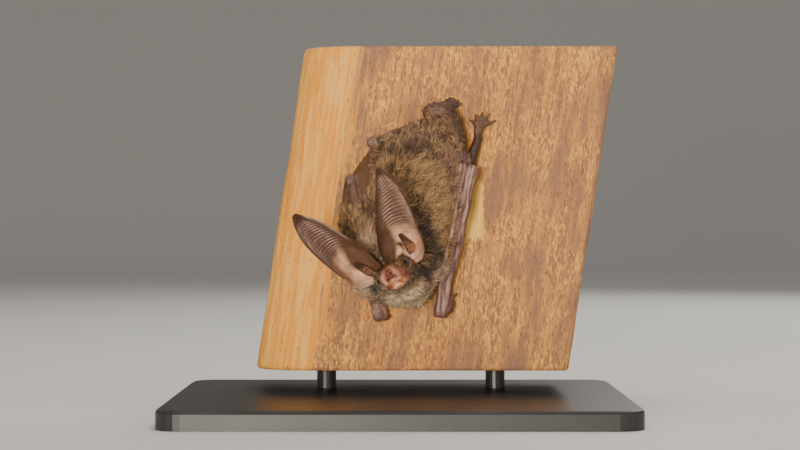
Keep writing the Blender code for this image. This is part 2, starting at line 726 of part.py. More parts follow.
def animal(skins, beam):
    wing, fur, bare = skins["wing_skin"], skins["fur"], skins["ear_skin"]
    forearms = [limb("forearm_left", FOREARM_LEFT, wing), limb("forearm_right", FOREARM_RIGHT, wing)]
    firm = [beam, *forearms]
    for name, stations in (("fingers_left", FINGERS_LEFT), ("fingers_right", FINGERS_RIGHT)):
        firm.append(clear_of(limb(name, stations, wing), firm))
    for name, stations in (("shank_left", SHANK_LEFT), ("shank_right", SHANK_RIGHT)):
        firm.append(clear_of(limb(name, stations, wing, rings=10), firm))
    for name, digits in (("thumb_left", THUMB_LEFT), ("thumb_right", THUMB_RIGHT)):
        firm.append(clear_of(clawed(name, digits, wing), firm))
    for name, place in (("foot_left", FOOT_LEFT), ("foot_right", FOOT_RIGHT)):
        firm.append(clear_of(foot(name, *place, wing), firm))
    for name, stations in (("upper_arm_left", UPPER_ARM_LEFT), ("upper_arm_right", UPPER_ARM_RIGHT)):
        firm.append(clear_of(limb(name, stations, fur), firm))
    firm.append(clear_of(limb("tail", TAIL, wing, rings=8), firm))
    firm += eyes(skins["eye"])
    solids = firm + furred_body(skins, firm)
    for name, stations in (("ear_left", EAR_LEFT), ("ear_right", EAR_RIGHT)):
        edges = leant_out(stations, EAR_REACH)
        shell = sheet(name, between_edges(edges, -OFF), EAR_THICKNESS, bare, long=18, wide=11)
        solids.append(clear_of(shell, solids))
    for name, stations in (("tragus_left", TRAGUS_LEFT), ("tragus_right", TRAGUS_RIGHT)):
        edges = leant_out(stations, TRAGUS_REACH)
        shell = sheet(name, between_edges(edges, -OFF), EAR_THICKNESS, bare, long=8, wide=5)
        solids.append(clear_of(shell, solids))
    membranes = (
        ("wing_membrane_left", WING_LEFT),
        ("wing_membrane_right", WING_RIGHT),
        ("tail_membrane", TAIL_MEMBRANE),
    )
    for name, stations in membranes:
        shell = sheet(name, between_edges(stations, OFF), MEMBRANE_THICKNESS, wing, long=14, wide=6)
        solids.append(clear_of(shell, solids))


def own_materials():
    """Gives each solid a material of its own, named after it."""
    for item in bpy.data.objects:
        item.data.materials[0] = item.data.materials[0].copy()
        item.data.materials[0].name = item.name


def build():
    for item in list(bpy.data.objects):
        bpy.data.objects.remove(item)
    skins = materials()
    animal(skins, stand(skins)[1])
    own_materials()


build()
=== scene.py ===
import math

import bmesh
import bpy
import numpy as np
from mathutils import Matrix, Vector


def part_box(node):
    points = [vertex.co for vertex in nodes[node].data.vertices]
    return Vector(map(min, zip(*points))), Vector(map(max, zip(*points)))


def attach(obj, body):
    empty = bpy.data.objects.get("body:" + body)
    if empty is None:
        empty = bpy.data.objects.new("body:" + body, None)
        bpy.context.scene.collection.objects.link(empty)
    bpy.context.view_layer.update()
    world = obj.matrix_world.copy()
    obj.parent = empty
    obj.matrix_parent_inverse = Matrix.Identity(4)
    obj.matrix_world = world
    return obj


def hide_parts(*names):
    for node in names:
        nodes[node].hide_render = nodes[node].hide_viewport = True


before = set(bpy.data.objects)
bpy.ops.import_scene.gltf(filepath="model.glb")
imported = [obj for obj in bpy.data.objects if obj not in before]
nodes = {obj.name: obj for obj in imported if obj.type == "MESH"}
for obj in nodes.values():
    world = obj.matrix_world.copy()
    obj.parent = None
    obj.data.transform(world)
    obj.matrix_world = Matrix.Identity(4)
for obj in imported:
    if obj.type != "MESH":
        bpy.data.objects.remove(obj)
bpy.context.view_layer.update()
mm = 0.001
batHeight = 45.0  # the bat's middle above the table, in mm


# small helpers

def at(across, off, up):
    # mm across to the right, off the timber's face, up from the bat's middle -> metres in the row frame
    off, up = -np.asarray(off, float), np.asarray(up, float) + batHeight
    return np.stack(np.broadcast_arrays(across, off, up), -1) * mm


def local(points):
    # metres in the row frame -> mm across, off, up
    p = np.asarray(points) / mm
    return np.stack([p[..., 0], -p[..., 1], p[..., 2] - batHeight], -1)


def unit(v):
    # each vector divided by its length
    return v / np.maximum(np.linalg.norm(v, axis=-1, keepdims=True), 1e-12)


def ease(low, high, x):
    # 0 below low, 1 above high, smooth in between
    t = np.clip((np.asarray(x, float) - low) / (high - low), 0, 1)
    return t * t * (3 - 2 * t)


def hump(middle, reach, x):
    # a bell round middle that falls to a third at reach
    return np.exp(-(((np.asarray(x, float) - middle) / reach) ** 2))


def farFrom(p, place):
    # distance of each point from a place
    return np.linalg.norm(p - np.array(place), axis=1)


def blob(p, place, reach):
    # 1 at a place, falling away as a bell with its own reach along each axis
    return np.exp(-(((p - place) / reach) ** 2).sum(-1))


def clamped(x):
    # cut to between 0 and 1
    return np.clip(x, 0, 1)


def mix(under, over, share):
    # two colours blended by share from 0 to 1; either may be a name in tones
    under, over = (np.asarray(tones[c] if isinstance(c, str) else c, float) for c in (under, over))
    share = np.asarray(share, float)[..., None]
    return under * (1 - share) + over * share


def ripple(points, size, seed, count=14):
    # soft noise from -1 to 1: sine waves of about that size in seeded directions, added
    rng = np.random.default_rng(seed)
    ways = unit(rng.normal(size=(count, 3))) * rng.uniform(0.6, 1.6, (count, 1)) * (2 * math.pi / size)
    return np.sin(points @ ways.T + rng.uniform(0, 2 * math.pi, count)).sum(-1) / math.sqrt(count * 1.2)


def smoothCurve(stops, t):
    # a Catmull-Rom curve through evenly spaced stops, read at t from 0 to 1
    stops = np.asarray(stops, float)
    stops = np.vstack([2 * stops[0] - stops[1], stops, 2 * stops[-1] - stops[-2]])
    place = np.clip(np.asarray(t, float), 0, 1) * (len(stops) - 3)
    k = np.minimum(place.astype(int), len(stops) - 4)
    f = (place - k)[..., None]
    a, b, c, d = (stops[k + i] for i in range(4))
    return 0.5 * (2 * b + (c - a) * f + (2 * a - 5 * b + 4 * c - d) * f**2 + (3 * b - a - 3 * c + d) * f**3)


def gridFaces(rows, columns, wrap=False):
    # quads of a grid of points stored row by row; wrap closes each row into a ring
    across = columns if wrap else columns - 1
    r, c = np.meshgrid(np.arange(rows - 1), np.arange(across), indexing="ij")
    a, b = r * columns + c, r * columns + (c + 1) % columns
    return np.stack([a, b, b + columns, a + columns], -1).reshape(-1, 4)


def cone(count, tip, start=0, over=False):
    # triangles from a ring of points, numbered from start on, to a tip; over turns them round
    ring = start + np.arange(count)
    after = np.roll(ring, -1)
    return np.stack([*((ring, after) if over else (after, ring)), np.full(count, tip)], 1)


def halves(quads):
    # each four-sided face as two triangles
    return np.vstack([quads[:, [0, 1, 2]], quads[:, [0, 2, 3]]])


def stacked(parts):
    # meshes one after another: points, faces, and what else each brings for every point or face
    points, faces, *others = zip(*parts)
    starts = np.cumsum([0] + [len(p) for p in points[:-1]])
    faces = np.vstack([f + start for f, start in zip(faces, starts)])
    return np.vstack(points), faces, *(np.concatenate(o) for o in others)


def addPiece(name, points, faces, materials, colours=None):
    # points and faces, as arrays, into a smooth mesh object at the origin
    count, corners = faces.shape
    mesh = bpy.data.meshes.new(name)
    mesh.vertices.add(len(points))
    mesh.vertices.foreach_set("co", np.asarray(points, np.float32).ravel())
    mesh.loops.add(count * corners)
    mesh.loops.foreach_set("vertex_index", faces.ravel().astype(np.int32))
    mesh.polygons.add(count)
    mesh.polygons.foreach_set("loop_start", np.arange(0, count * corners, corners, dtype=np.int32))
    mesh.update(calc_edges=True)
    mesh.validate()
    mesh.shade_smooth()
    if colours is not None:
        paint(mesh, "tone", colours)
    for m in materials:
        mesh.materials.append(m)
    return shown(name, mesh)


def shown(name, data):
    # a new object in the scene that holds the data
    thing = bpy.data.objects.new(name, data)
    bpy.context.scene.collection.objects.link(thing)
    return thing


def paint(mesh, name, colours):
    # a colour for every point, kept under that name
    layer = mesh.color_attributes.get(name) or mesh.color_attributes.new(name, "FLOAT_COLOR", "POINT")
    rgba = np.ones((len(colours), 4), np.float32)
    rgba[:, : colours.shape[1]] = colours
    layer.data.foreach_set("color", rgba.ravel())


def read(items, key, width, kind=np.float32):
    # one value of every item of a mesh, in rows of that width
    values = np.empty(len(items) * width, kind)
    items.foreach_get(key, values)
    return values.reshape(-1, width)


def pointsOf(mesh):
    return read(mesh.vertices, "co", 3).astype(float)


def normalsOf(mesh):
    return read(mesh.vertices, "normal", 3).astype(float)


def marksOf(mesh):
    # for every point, half the coat's depth in mm, then shares of fur, face and foot
    return read(mesh.color_attributes["marks"].data, "color", 4).astype(float)


def edgesOf(mesh):
    return read(mesh.edges, "vertices", 2, np.int32)


def trianglesOf(mesh):
    mesh.calc_loop_triangles()
    return read(mesh.loop_triangles, "vertices", 3, np.int32)


def setPoints(mesh, points):
    mesh.vertices.foreach_set("co", np.asarray(points, np.float32).ravel())
    mesh.update()


def relaxed(values, edges, rounds, share=0.5):
    # each value moves a share of the way to the mean of its neighbours, that many times
    values = np.array(values, float)
    count = len(values)
    ends = np.concatenate([edges[:, 0], edges[:, 1]])
    others = np.concatenate([edges[:, 1], edges[:, 0]])
    near = np.maximum(np.bincount(ends, minlength=count), 1)[:, None]
    for _ in range(rounds):
        mean = np.stack([np.bincount(ends, values[others, k], count) for k in range(values.shape[1])], 1) / near
        values += (mean - values) * share
    return values


def evaluated(piece, name):
    # the piece's mesh with its modifiers worked in
    graph = bpy.context.evaluated_depsgraph_get()
    graph.update()
    return bpy.data.meshes.new_from_object(piece.evaluated_get(graph), depsgraph=graph)


def outwards(mesh):
    # turns every shell's faces outwards
    work = bmesh.new()
    work.from_mesh(mesh)
    bmesh.ops.remove_doubles(work, verts=work.verts, dist=1e-7)
    bmesh.ops.recalc_face_normals(work, faces=work.faces)
    work.to_mesh(mesh)
    work.free()


# the bat's own directions

pose = dict(
    eyesMiddle=(-1.8, 20.5, -10.6),  # point between the eyes: across, off, up, in mm
    roll=35.0,  # degrees the crown leans to the viewer's left
    turn=5.0,
)
roll, turn = math.radians(pose["roll"]), math.radians(pose["turn"])
headUp = np.array([-math.sin(roll), 0, math.cos(roll)])
headLevel = np.array([math.cos(roll), 0, math.sin(roll)])
headAhead = math.cos(turn) * np.array([0, 1, 0]) - math.sin(turn) * headLevel
headSide = math.cos(turn) * headLevel + math.sin(turn) * np.array([0, 1, 0])
headAxes = np.stack([headSide, headAhead, headUp])  # rows: to the bat's left, ahead, crown


def inHead(p):
    # mm across, off, up -> mm to the bat's left, ahead, up, from the point between the eyes
    return (p - np.array(pose["eyesMiddle"])) @ headAxes.T


def fromHead(p):
    # the same the other way
    return np.asarray(p, float) @ headAxes + np.array(pose["eyesMiddle"])


def nearPath(p, stops, samples=40):
    # distance from each point to a smooth path through stops, and how far along the path it is
    path = smoothCurve(stops, np.linspace(0, 1, samples))
    gaps = np.linalg.norm(p[:, None, :] - path[None], axis=2)
    best = gaps.argmin(1)
    return gaps[np.arange(len(p)), best], best / (samples - 1)


# colours that skin and coat share

tones = dict(
    coatDark=(0.062, 0.027, 0.011),
    coatMid=(0.148, 0.064, 0.018),
    coatBuff=(0.50, 0.275, 0.105),
    coatTip=(0.84, 0.520, 0.230),
    coatGold=(0.66, 0.37, 0.13),
    cream=(0.92, 0.72, 0.49),
    black=(0.020, 0.010, 0.005),
    wing=(0.27, 0.122, 0.100),
    wingLight=(0.58, 0.37, 0.29),
    wingDark=(0.070, 0.026, 0.020),
    amber=(0.086, 0.034, 0.010),
    knuckle=(0.19, 0.105, 0.085),
    toe=(0.085, 0.036, 0.018),
    shank=(0.040, 0.016, 0.009),
    face=(0.36, 0.115, 0.068),
    lip=(0.76, 0.33, 0.150),
    mouthLit=(0.93, 0.62, 0.46),
    swelling=(0.80, 0.41, 0.29),
    rim=(0.50, 0.24, 0.18),
    # dark red of the muzzle, also laid on as painted shade at its top and in its creases
    darkRedAndShade=(0.10, 0.018, 0.008),
    brow=(0.14, 0.060, 0.028),
    ear=(0.145, 0.078, 0.058),
    earPanel=(0.125, 0.062, 0.036),
    # pale of the ribs, also used for painted highlights on the ears' rims
    earRibAndHighlight=(0.80, 0.58, 0.46),
    earDark=(0.050, 0.022, 0.013),
    earBase=(0.88, 0.52, 0.32),
    earFold=(0.36, 0.165, 0.09),
    earVein=(0.55, 0.25, 0.14),
    earYellow=(0.80, 0.52, 0.20),
    earRootLit=(0.88, 0.58, 0.42),
    earEdgeLit=(0.92, 0.58, 0.38),
    earHole=(0.045, 0.016, 0.009),
    tragus=(0.17, 0.075, 0.036),
    tragusLit=(0.36, 0.18, 0.10),
    cheekRed=(0.25, 0.075, 0.045),
    cheekShade=(0.17, 0.075, 0.06),
    cheekGroove=(0.30, 0.11, 0.08),
    wedge=(0.15, 0.036, 0.020),
    wedgeLit=(0.36, 0.15, 0.11),
    lipRed=(0.32, 0.07, 0.026),
    lid=(0.20, 0.125, 0.085),
    lidEdge=(0.045, 0.022, 0.015),
    lidRing=(0.26, 0.17, 0.11),
    socket=(0.02, 0.01, 0.008),
    claw=(0.16, 0.09, 0.05),
    clawTip=(0.05, 0.025, 0.015),
)

# patches of colour on the coat, some of them painted shade and one a painted highlight: place across, off, up;
# reach; tone; strength
coatPatches = [
    ((-0.8, 17, 15.3), (4.2, 9, 1.6), "coatDark", 0.95),  # painted shade above the fold of the back, this patch and the next
    ((3.3, 17, 15.9), (2.8, 9, 1.5), "coatDark", 0.9),
    ((1.0, 17, 12.5), (3.8, 9, 0.6), "coatGold", 0.9),  # the fold's lit edge
    ((0.2, 17, 10.8), (3.6, 9, 1.0), "coatDark", 0.95),
    ((2.4, 17, 9.7), (3.0, 9, 0.5), "coatBuff", 0.6),
    ((1.8, 17, 8.2), (3.6, 9, 0.7), "coatDark", 0.6),
    ((3.0, 12, 21.5), (6.0, 9, 3.4), "coatDark", 0.4),
    ((7.4, 13, -3.0), (1.5, 9, 4.2), "coatBuff", 0.7),
    ((4.1, 17, -0.4), (1.9, 9, 4.2), "coatDark", 0.97),  # in the shade of the left ear
    ((7.4, 16, 4.6), (3.0, 9, 3.0), "coatBuff", 0.7),
    ((6.5, 16, 9.5), (4.5, 9, 3.5), "coatBuff", 0.2),
    ((-6.6, 14, -5.4), (2.2, 9, 2.2), "cream", 0.35),  # right shoulder
    ((-10.5, 8, -1.0), (3.0, 9, 4.5), "coatBuff", 0.35),
    ((-7.0, 14, 0.8), (2.4, 9, 2.4), "coatDark", 0.85),
    ((10.4, 11, 12.0), (2.4, 9, 4.0), "wing", 0.55),  # thin coat by the left elbow
    ((3.2, 13, -17.0), (6.5, 9, 3.2), "cream", 1.0),  # throat
    ((-7.5, 14, -13.6), (3.4, 8, 2.6), "cream", 0.85),
    ((9.0, 10, -12.0), (3.0, 8, 2.6), "cream", 0.55),
    ((-2.0, 17, -7.0), (3.4, 5, 2.0), "brow", 0.6),  # forehead, between the ears
    # painted shade of the left ear, further down
    ((5.8, 14, -4.8), (1.6, 9, 3.0), "black", 0.85),
    ((7.3, 12, -8.2), (1.5, 8, 2.6), "black", 0.92),  # painted shade in the hollow behind the left ear and cheek
    ((-3.6, 17, -8.9), (1.2, 6, 0.9), "coatDark", 0.95),  # a dark band down the right of the muzzle
    ((-5.2, 17, -11.6), (0.9, 6, 1.8), "coatDark", 0.9),
    ((-5.2, 15, -14.2), (1.0, 7, 1.5), "black", 0.95),
    ((3.5, 17, -9.6), (2.2, 6, 0.9), "black", 0.93),  # under the left eye
    ((3.9, 16, -11.4), (1.5, 6, 1.2), "coatDark", 0.75),
    ((5.6, 15, -10.8), (2.4, 6, 1.8), "black", 0.7),
    ((-4.3, 13, -14.8), (1.7, 9, 1.5), "black", 0.95),  # right corner of the chin
]


def coatTone(p):
    # base colour of the coat at each point: the patches, painted shade among them, laid over grey-brown, with
    # soft drift
    colour = mix("coatMid", "coatBuff", 0.18 + 0.2 * ripple(p, 9, 3))
    colour = mix(colour, "coatDark", np.clip(0.12 + 0.4 * ripple(p, 2.6, 4), 0, 0.8))
    for place, reach, tone, strength in coatPatches:
        colour = mix(colour, tone, np.clip(blob(p, place, reach) * strength * 1.15, 0, strength))
    return colour


# materials

def newMaterial(name):
    # a material with its node tree and its shader
    m = bpy.data.materials.new(name)
    m.use_nodes = True
    tree = m.node_tree
    return m, tree, tree.nodes["Principled BSDF"]


def objectPlace(tree):
    return addNode(tree, "TexCoord").outputs["Object"]


def wire(tree, node, inputs):
    # numbers and colours are set on the node's sockets, and other nodes' outputs are joined to them
    for key, value in inputs.items():
        if isinstance(value, bpy.types.NodeSocket):
            tree.links.new(value, node.inputs[key])
        else:
            node.inputs[key].default_value = value


def addNode(tree, kind, inputs={}, **settings):
    # a new shader node of a kind, with its settings and what goes into its sockets
    node = tree.nodes.new("ShaderNode" + kind)
    for key, value in settings.items():
        setattr(node, key, value)
    wire(tree, node, inputs)
    return node


def result(tree, kind, inputs={}, **settings):
    # the first output of a new node
    return addNode(tree, kind, inputs, **settings).outputs[0]


def calc(tree, operation, *values):
    # one step of arithmetic on numbers and other nodes' outputs
    return result(tree, "Math", dict(enumerate(values)), operation=operation)


def noise(tree, vector, scale, detail=2, rough=0.5):
    return result(tree, "TexNoise", {"Vector": vector, "Scale": scale, "Detail": detail, "Roughness": rough})


def bump(tree, height, strength, distance):
    return result(tree, "Bump", {"Strength": strength, "Distance": distance, "Height": height})


def masked(tree, value, low, high):
    # 0 where the value is at low and 1 where it is at high, smooth in between
    ends = {"Value": value, "From Min": low, "From Max": high}
    return result(tree, "MapRange", ends, interpolation_type="SMOOTHSTEP")


def blended(tree, share, under, over):
    # two colours mixed by a mask
    node = addNode(tree, "Mix", data_type="RGBA")
    under, over = ((*c, 1) if isinstance(c, tuple) else c for c in (under, over))
    wire(tree, node, {0: share, 6: under, 7: over})
    return node.outputs[2]


def laidOver(tree, under, tone, value, low, high):
    # a tone laid over a colour where the value goes from low to high
    return blended(tree, masked(tree, value, low, high), under, tone)


def newGroup(name, setting, value, results):
    # an empty shader group: a Vector and one setting go in, and numbers come out
    group = bpy.data.node_groups.new(name, "ShaderNodeTree")
    face = group.interface
    face.new_socket("Vector", in_out="INPUT", socket_type="NodeSocketVector")
    face.new_socket(setting, in_out="INPUT", socket_type="NodeSocketFloat").default_value = value
    for found in results:
        face.new_socket(found, in_out="OUTPUT", socket_type="NodeSocketFloat")
    return group, group.nodes.new("NodeGroupInput").outputs, group.nodes.new("NodeGroupOutput")


def reliefGroup():
    # fine pores and creases: two noises and a cell pattern give a height and a mask
    group, start, end = newGroup("fineRelief", "Size", 1, ("Height", "Mottle"))
    scaled = result(group, "VectorMath", {0: start["Vector"], "Scale": start["Size"]}, operation="SCALE")
    cells = result(group, "TexVoronoi", {"Vector": scaled, "Scale": 2200}, feature="DISTANCE_TO_EDGE")
    creases = result(group, "MapRange", {"Value": cells, "From Max": 0.12, "To Min": 0, "To Max": 0.2})
    pores, drift = noise(group, scaled, 1500, 4, 0.65), noise(group, scaled, 500, 3)
    wire(group, end, {"Height": calc(group, "ADD", creases, pores), "Mottle": drift})
    return group


fineRelief = reliefGroup()


def toneMaterial(name, roughness, relief, size=1.0, mottle=0.2, subsurface=0.0, specular=0.5, sheen=0.0):
    # colour from the mesh's tone attribute, mottled, with pores and creases as bump
    m, tree, shader = newMaterial(name)
    fine = addNode(tree, "Group", {"Vector": objectPlace(tree), "Size": size}, node_tree=fineRelief).outputs
    reach = {"From Min": 0.3, "From Max": 0.7, "To Min": 1 - mottle, "To Max": 1 + mottle}
    level = result(tree, "MapRange", {"Value": fine["Mottle"], **reach})
    tone = result(tree, "Attribute", attribute_name="tone")
    wire(tree, shader, {
        "Base Color": result(tree, "VectorMath", {0: tone, "Scale": level}, operation="SCALE"),
        "Normal": bump(tree, fine["Height"], relief, 0.2 * mm),
        "Roughness": roughness,
        "Specular IOR Level": specular,
        "Sheen Weight": sheen,
    })
    if subsurface:
        light = {"Weight": subsurface, "Radius": (1.0, 0.45, 0.25), "Scale": 0.6 * mm}
        wire(tree, shader, {"Subsurface " + key: value for key, value in light.items()})
    return m


bareSkin = toneMaterial("bareSkin", roughness=0.40, relief=0.6, mottle=0.25, subsurface=0.1)
earSkin = toneMaterial(
    "earSkin", roughness=0.44, relief=0.45, size=1.3, mottle=0.22, subsurface=0.2, specular=0.32
)
coatHair = toneMaterial("coatHair", roughness=0.62, relief=0.0, mottle=0.12, specular=0.35, sheen=0.15)
clawHorn = toneMaterial("clawHorn", roughness=0.3, relief=0.1, mottle=0.1)
print("materials of the bat made")


# the skin: copies of the flesh nodes grown together, then drawn in by the depth of the coat

skinValues = dict(
    swell=0.24,  # mm each node grows, so that the clearances close
    voxel=0.215,  # mm
    hiddenFaces=15000,  # triangles left under the coat
    coatDepth=dict(  # mm
        trunk=1.25, neck=1.2, head=0.75, thigh_left=0.5, thigh_right=0.6,
        upper_arm_left=0.5, muzzle=0.12, nose=0.02,
    ),
)
apartNodes = ("stand_", "perch_", "eye_", "ear_", "tragus_")
fleshNodes = sorted(n for n in nodes if not n.startswith(apartNodes))
furNodes = ("trunk", "neck", "head", "thigh_left", "thigh_right", "upper_arm_left")
faceNodes = ("muzzle", "nose")
footNodes = ("foot_left", "foot_right", "shank_left", "shank_right", "tail", "thumb_left", "thumb_right")
flankSheets = [  # skin between the flank and the right arm, which closes the gaps there: across, off, up
    dict(
        inner=[(-5.0, 7.4, 14.0), (-5.6, 8.8, 10.5), (-5.6, 9.4, 7.0), (-5.8, 9.4, 4.0), (-6.4, 9.2, 1.5)],
        outer=[(-8.6, 6.3, 14.0), (-9.6, 6.9, 10.5), (-9.8, 7.2, 7.0), (-9.8, 7.6, 4.0), (-9.4, 8.2, 1.5)],
        thickness=1.5,
        mark=(0, 0, 0, 0),
    ),
    dict(
        inner=[(-8.8, 8.4, 5.0), (-9.0, 8.6, 2.0), (-9.0, 8.8, -1.0), (-8.6, 8.6, -4.0), (-7.8, 8.2, -7.5)],
        outer=[
            (-12.2, 5.8, 5.0), (-12.2, 5.4, 2.0), (-12.0, 5.0, -1.0), (-11.5, 4.8, -4.0), (-10.6, 4.5, -7.5),
        ],
        thickness=1.8,
        mark=(0.1, 1, 0, 0),
    ),
]


def mergedCopy(node):
    # a node's mesh with the corners of its loose triangles merged
    work = bmesh.new()
    work.from_mesh(nodes[node].data)
    bmesh.ops.remove_doubles(work, verts=work.verts, dist=1e-6)
    mesh = bpy.data.meshes.new(node + "Copy")
    work.to_mesh(mesh)
    work.free()
    return mesh


def slab(inner, outer, thickness, rows=24, columns=12):
    # a closed sheet between two curves, half its thickness to each side
    share = np.linspace(0, 1, columns)[None, :, None]
    u = np.linspace(0, 1, rows)
    middle = smoothCurve(inner, u)[:, None] * (1 - share) + smoothCurve(outer, u)[:, None] * share
    loop = np.concatenate([middle + (0, thickness / 2, 0), middle[:, ::-1] - (0, thickness / 2, 0)], 1)
    flat = np.vstack([loop.reshape(-1, 3), loop[0].mean(0), loop[-1].mean(0)])
    around = 2 * columns
    ends = cone(around, len(flat) - 2), cone(around, len(flat) - 1, (rows - 1) * around, over=True)
    return at(*flat.T), np.vstack([halves(gridFaces(rows, around, wrap=True)), *ends])


def marked(points, faces, mark):
    # a part of the skin's source, with the same mark on all of its points
    return points, faces, np.tile(np.array(mark, float), (len(points), 1))


def grownTogether():
    # all flesh nodes in one mesh, each swollen, with a marker colour: coat depth, fur, face, foot
    parts = []
    for node in fleshNodes:
        mesh = mergedCopy(node)
        depth = skinValues["coatDepth"].get(node, 0)
        mark = (depth / 2, node in furNodes, node in faceNodes, node in footNodes)
        swollen = pointsOf(mesh) + normalsOf(mesh) * skinValues["swell"] * mm
        parts.append(marked(swollen, trianglesOf(mesh), mark))
    for sheet in flankSheets:
        points, faces = slab(sheet["inner"], sheet["outer"], sheet["thickness"])
        parts.append(marked(points, faces, sheet["mark"]))
    points, faces, marks = stacked(parts)
    source = addPiece("fleshSource", points, faces, [])
    paint(source.data, "marks", marks)
    whole = shown("whole", source.data)
    melt = whole.modifiers.new("melt", "REMESH")
    melt.mode = "VOXEL"
    melt.voxel_size = skinValues["voxel"] * mm
    mesh = evaluated(whole, "whole")
    whole.modifiers.clear()
    whole.data = mesh
    paint(mesh, "marks", np.zeros((len(mesh.vertices), 4)))
    carry = whole.modifiers.new("carry", "DATA_TRANSFER")
    carry.object = source
    carry.use_vert_data = True
    carry.data_types_verts = {"COLOR_VERTEX"}
    carry.vert_mapping = "POLYINTERP_NEAREST"
    made = evaluated(whole, "marked")
    for spare in (source, whole):
        bpy.data.objects.remove(spare)
    return made, marksOf(made)


wingPaths = dict(  # across, off, up along the middle of each folded wing's front, elbow to wrist
    left=[(16.6, 7.5, 14.2), (14.9, 7.5, 4.7), (13.2, 6.5, -4.5), (11.0, 5.0, -13.5), (9.7, 3.6, -22.0)],
    right=[(-11.7, 7.0, 10.7), (-12.2, 5.6, 3.0), (-11.2, 4.6, -6.0), (-8.6, 3.8, -13.0), (-4.7, 3.2, -22.3)],
)
faceFolds = dict(  # in the head's mm: paths, half widths, and how far they are pushed out
    swellLeft=([(0.5, 4.4, 1.5), (0.95, 5.2, 0.5), (1.35, 5.4, -0.7), (1.2, 5.4, -2.0)], 0.46, 0.46),
    swellRight=([(-1.5, 4.6, 1.4), (-2.05, 5.0, 0.4), (-2.35, 5.0, -0.8), (-2.2, 4.8, -1.9)], 0.48, 0.40),
    wedgeUpper=([(-0.6, 5.0, 1.6), (0.05, 5.8, 0.3), (0.65, 6.3, -1.0)], 0.26, -0.50),
    wedgeLower=([(0.65, 6.3, -1.0), (-0.3, 6.5, -1.0), (-1.4, 6.0, -0.95)], 0.27, -0.50),
    wedgeMiddle=([(-0.9, 5.4, 0.5), (-0.5, 6.0, -0.3), (0.3, 6.3, -0.75)], 0.45, -0.16),
    nostrilLeft=([(0.5, 7.0, -1.7), (0.95, 6.8, -1.5), (1.2, 6.0, -1.05)], 0.2, -0.4),
    nostrilRight=([(-0.9, 7.0, -1.75), (-1.3, 6.6, -1.5), (-1.5, 6.0, -1.1)], 0.2, -0.35),
    mouthRight=([(-2.9, 3.4, -2.1), (-2.2, 5.0, -2.7), (-1.5, 5.8, -3.0)], 0.28, -0.36),
    mouthLeft=([(0.5, 6.0, -2.5), (1.1, 5.4, -3.1), (1.6, 4.6, -3.9)], 0.17, -0.40),
    lipLine=([(-1.2, 5.4, -3.4), (-0.5, 5.9, -3.3), (0.4, 5.6, -3.4)], 0.36, 0.16),
    nosePad=([(-0.9, 6.4, -1.8), (-0.1, 6.8, -1.7), (0.4, 6.4, -2.0)], 0.35, 0.14),
    cheek=([(2.3, 4.0, 0.2), (2.7, 3.2, -0.9), (2.6, 3.0, -2.2)], 0.25, -0.2),
)
darkFolds = dict(  # how dark some folds are drawn: painted shade in their grooves
    wedgeUpper=1, wedgeLower=1, nostrilLeft=1, nostrilRight=1, mouthRight=0.8, mouthLeft=0.85, cheek=0.4
)
knobs = dict(  # bare joints: across, off, up and reach in mm
    kneeRight=((-6.4, 6.4, 19.6), 2.9),
    elbowRight=((-11.8, 6.3, 10.9), 2.6),
    kneeLeft=((15.4, 6.6, 15.4), 3.4),
)
backFold = dict(  # across, up along the fold of the back; its height, the depth above it and half its width
    path=[(-1.9, 13.5), (1.0, 14.4), (4.5, 14.8), (6.2, 15.5)],
    raised=0.42,
    sunk=0.75,
    half=0.75,
)
eyePlace = (3.3, -0.1, -0.1)  # the left eye's middle, in the head's mm
eyeRadius = 1.05


def atKnobs(p):
    # 1 on a bare joint, falling to 0 past its reach
    share = np.zeros(len(p))
    for place, reach in knobs.values():
        share = np.maximum(share, ease(reach, reach * 0.6, farFrom(p, place)))
    return share


def atEyes(p):
    # distance to the nearer eye's middle
    h = inHead(p)
    return np.minimum(*(farFrom(h, np.array(eyePlace) * (s, 1, 1)) for s in (1, -1)))


def wingFolds(p, path):
    # how near a folded wing is, where along it, how far across, and a wave of 1 on a fold and 0 between;
    # the folds fan out from the elbow, so the wave is drawn over the width there
    far, along = nearPath(p, path)
    across = p[:, 0] - smoothCurve(path, along)[:, 0]
    width = 0.62 + 0.42 * ease(0.0, 0.55, along)
    place = across / width / 1.45 + 0.35 * np.sin(4.2 * along + 0.6) + 0.2 * ripple(p * (1, 1, 0.3), 2.4, 23)
    return ease(4.8, 3.4, far), along, across, 0.5 + 0.5 * np.cos(2 * math.pi * place)


def shapeBareSkin(p, n, marks):
    # lengthwise folds on the folded wings, wrinkles on the tail membrane, knuckles on toes
    bare = clamped(1 - marks[:, 1] - marks[:, 2]) * (1 - marks[:, 3])
    push = np.zeros(len(p))
    for path in wingPaths.values():
        near, along, across, fold = wingFolds(p, path)
        if path is wingPaths["right"]:
            near = near * ease(0.45, 0.75, along)
        strength = 0.6 + 0.4 * ripple(p * (1, 1, 0.25), 3.0, 24)
        folds = 0.26 * strength * (fold**1.5 - 0.5) + 0.09 * ripple(p * (1, 1, 0.3), 1.1, 21)
        push += bare * near * folds * ease(1.0, 0.93, along)
    front = ease(0.1, 0.5, -n[:, 1]) * marks[:, 1]
    flat = p[:, [0, 2, 2]] * (1, 1, 0)
    path = np.array([(x, z, 0) for x, z in backFold["path"]])
    far, along = nearPath(flat, path)
    above, _ = nearPath(flat - (0, 1.6, 0), path)
    ends = ease(0.0, 0.12, along) * ease(1.0, 0.88, along)
    push += front * ends * backFold["raised"] * hump(0, backFold["half"], far)
    push -= front * ends * backFold["sunk"] * hump(0, backFold["half"], above)
    tail = bare * ease(12, 17, p[:, 2]) * ease(3.5, 4.5, p[:, 0])
    push += tail * 0.10 * np.sin(2 * math.pi * (p[:, 0] * 0.35 + p[:, 2] * 0.8))
    push += marks[:, 3] * 0.05 * ripple(p, 0.9, 22)
    return n * push[:, None]


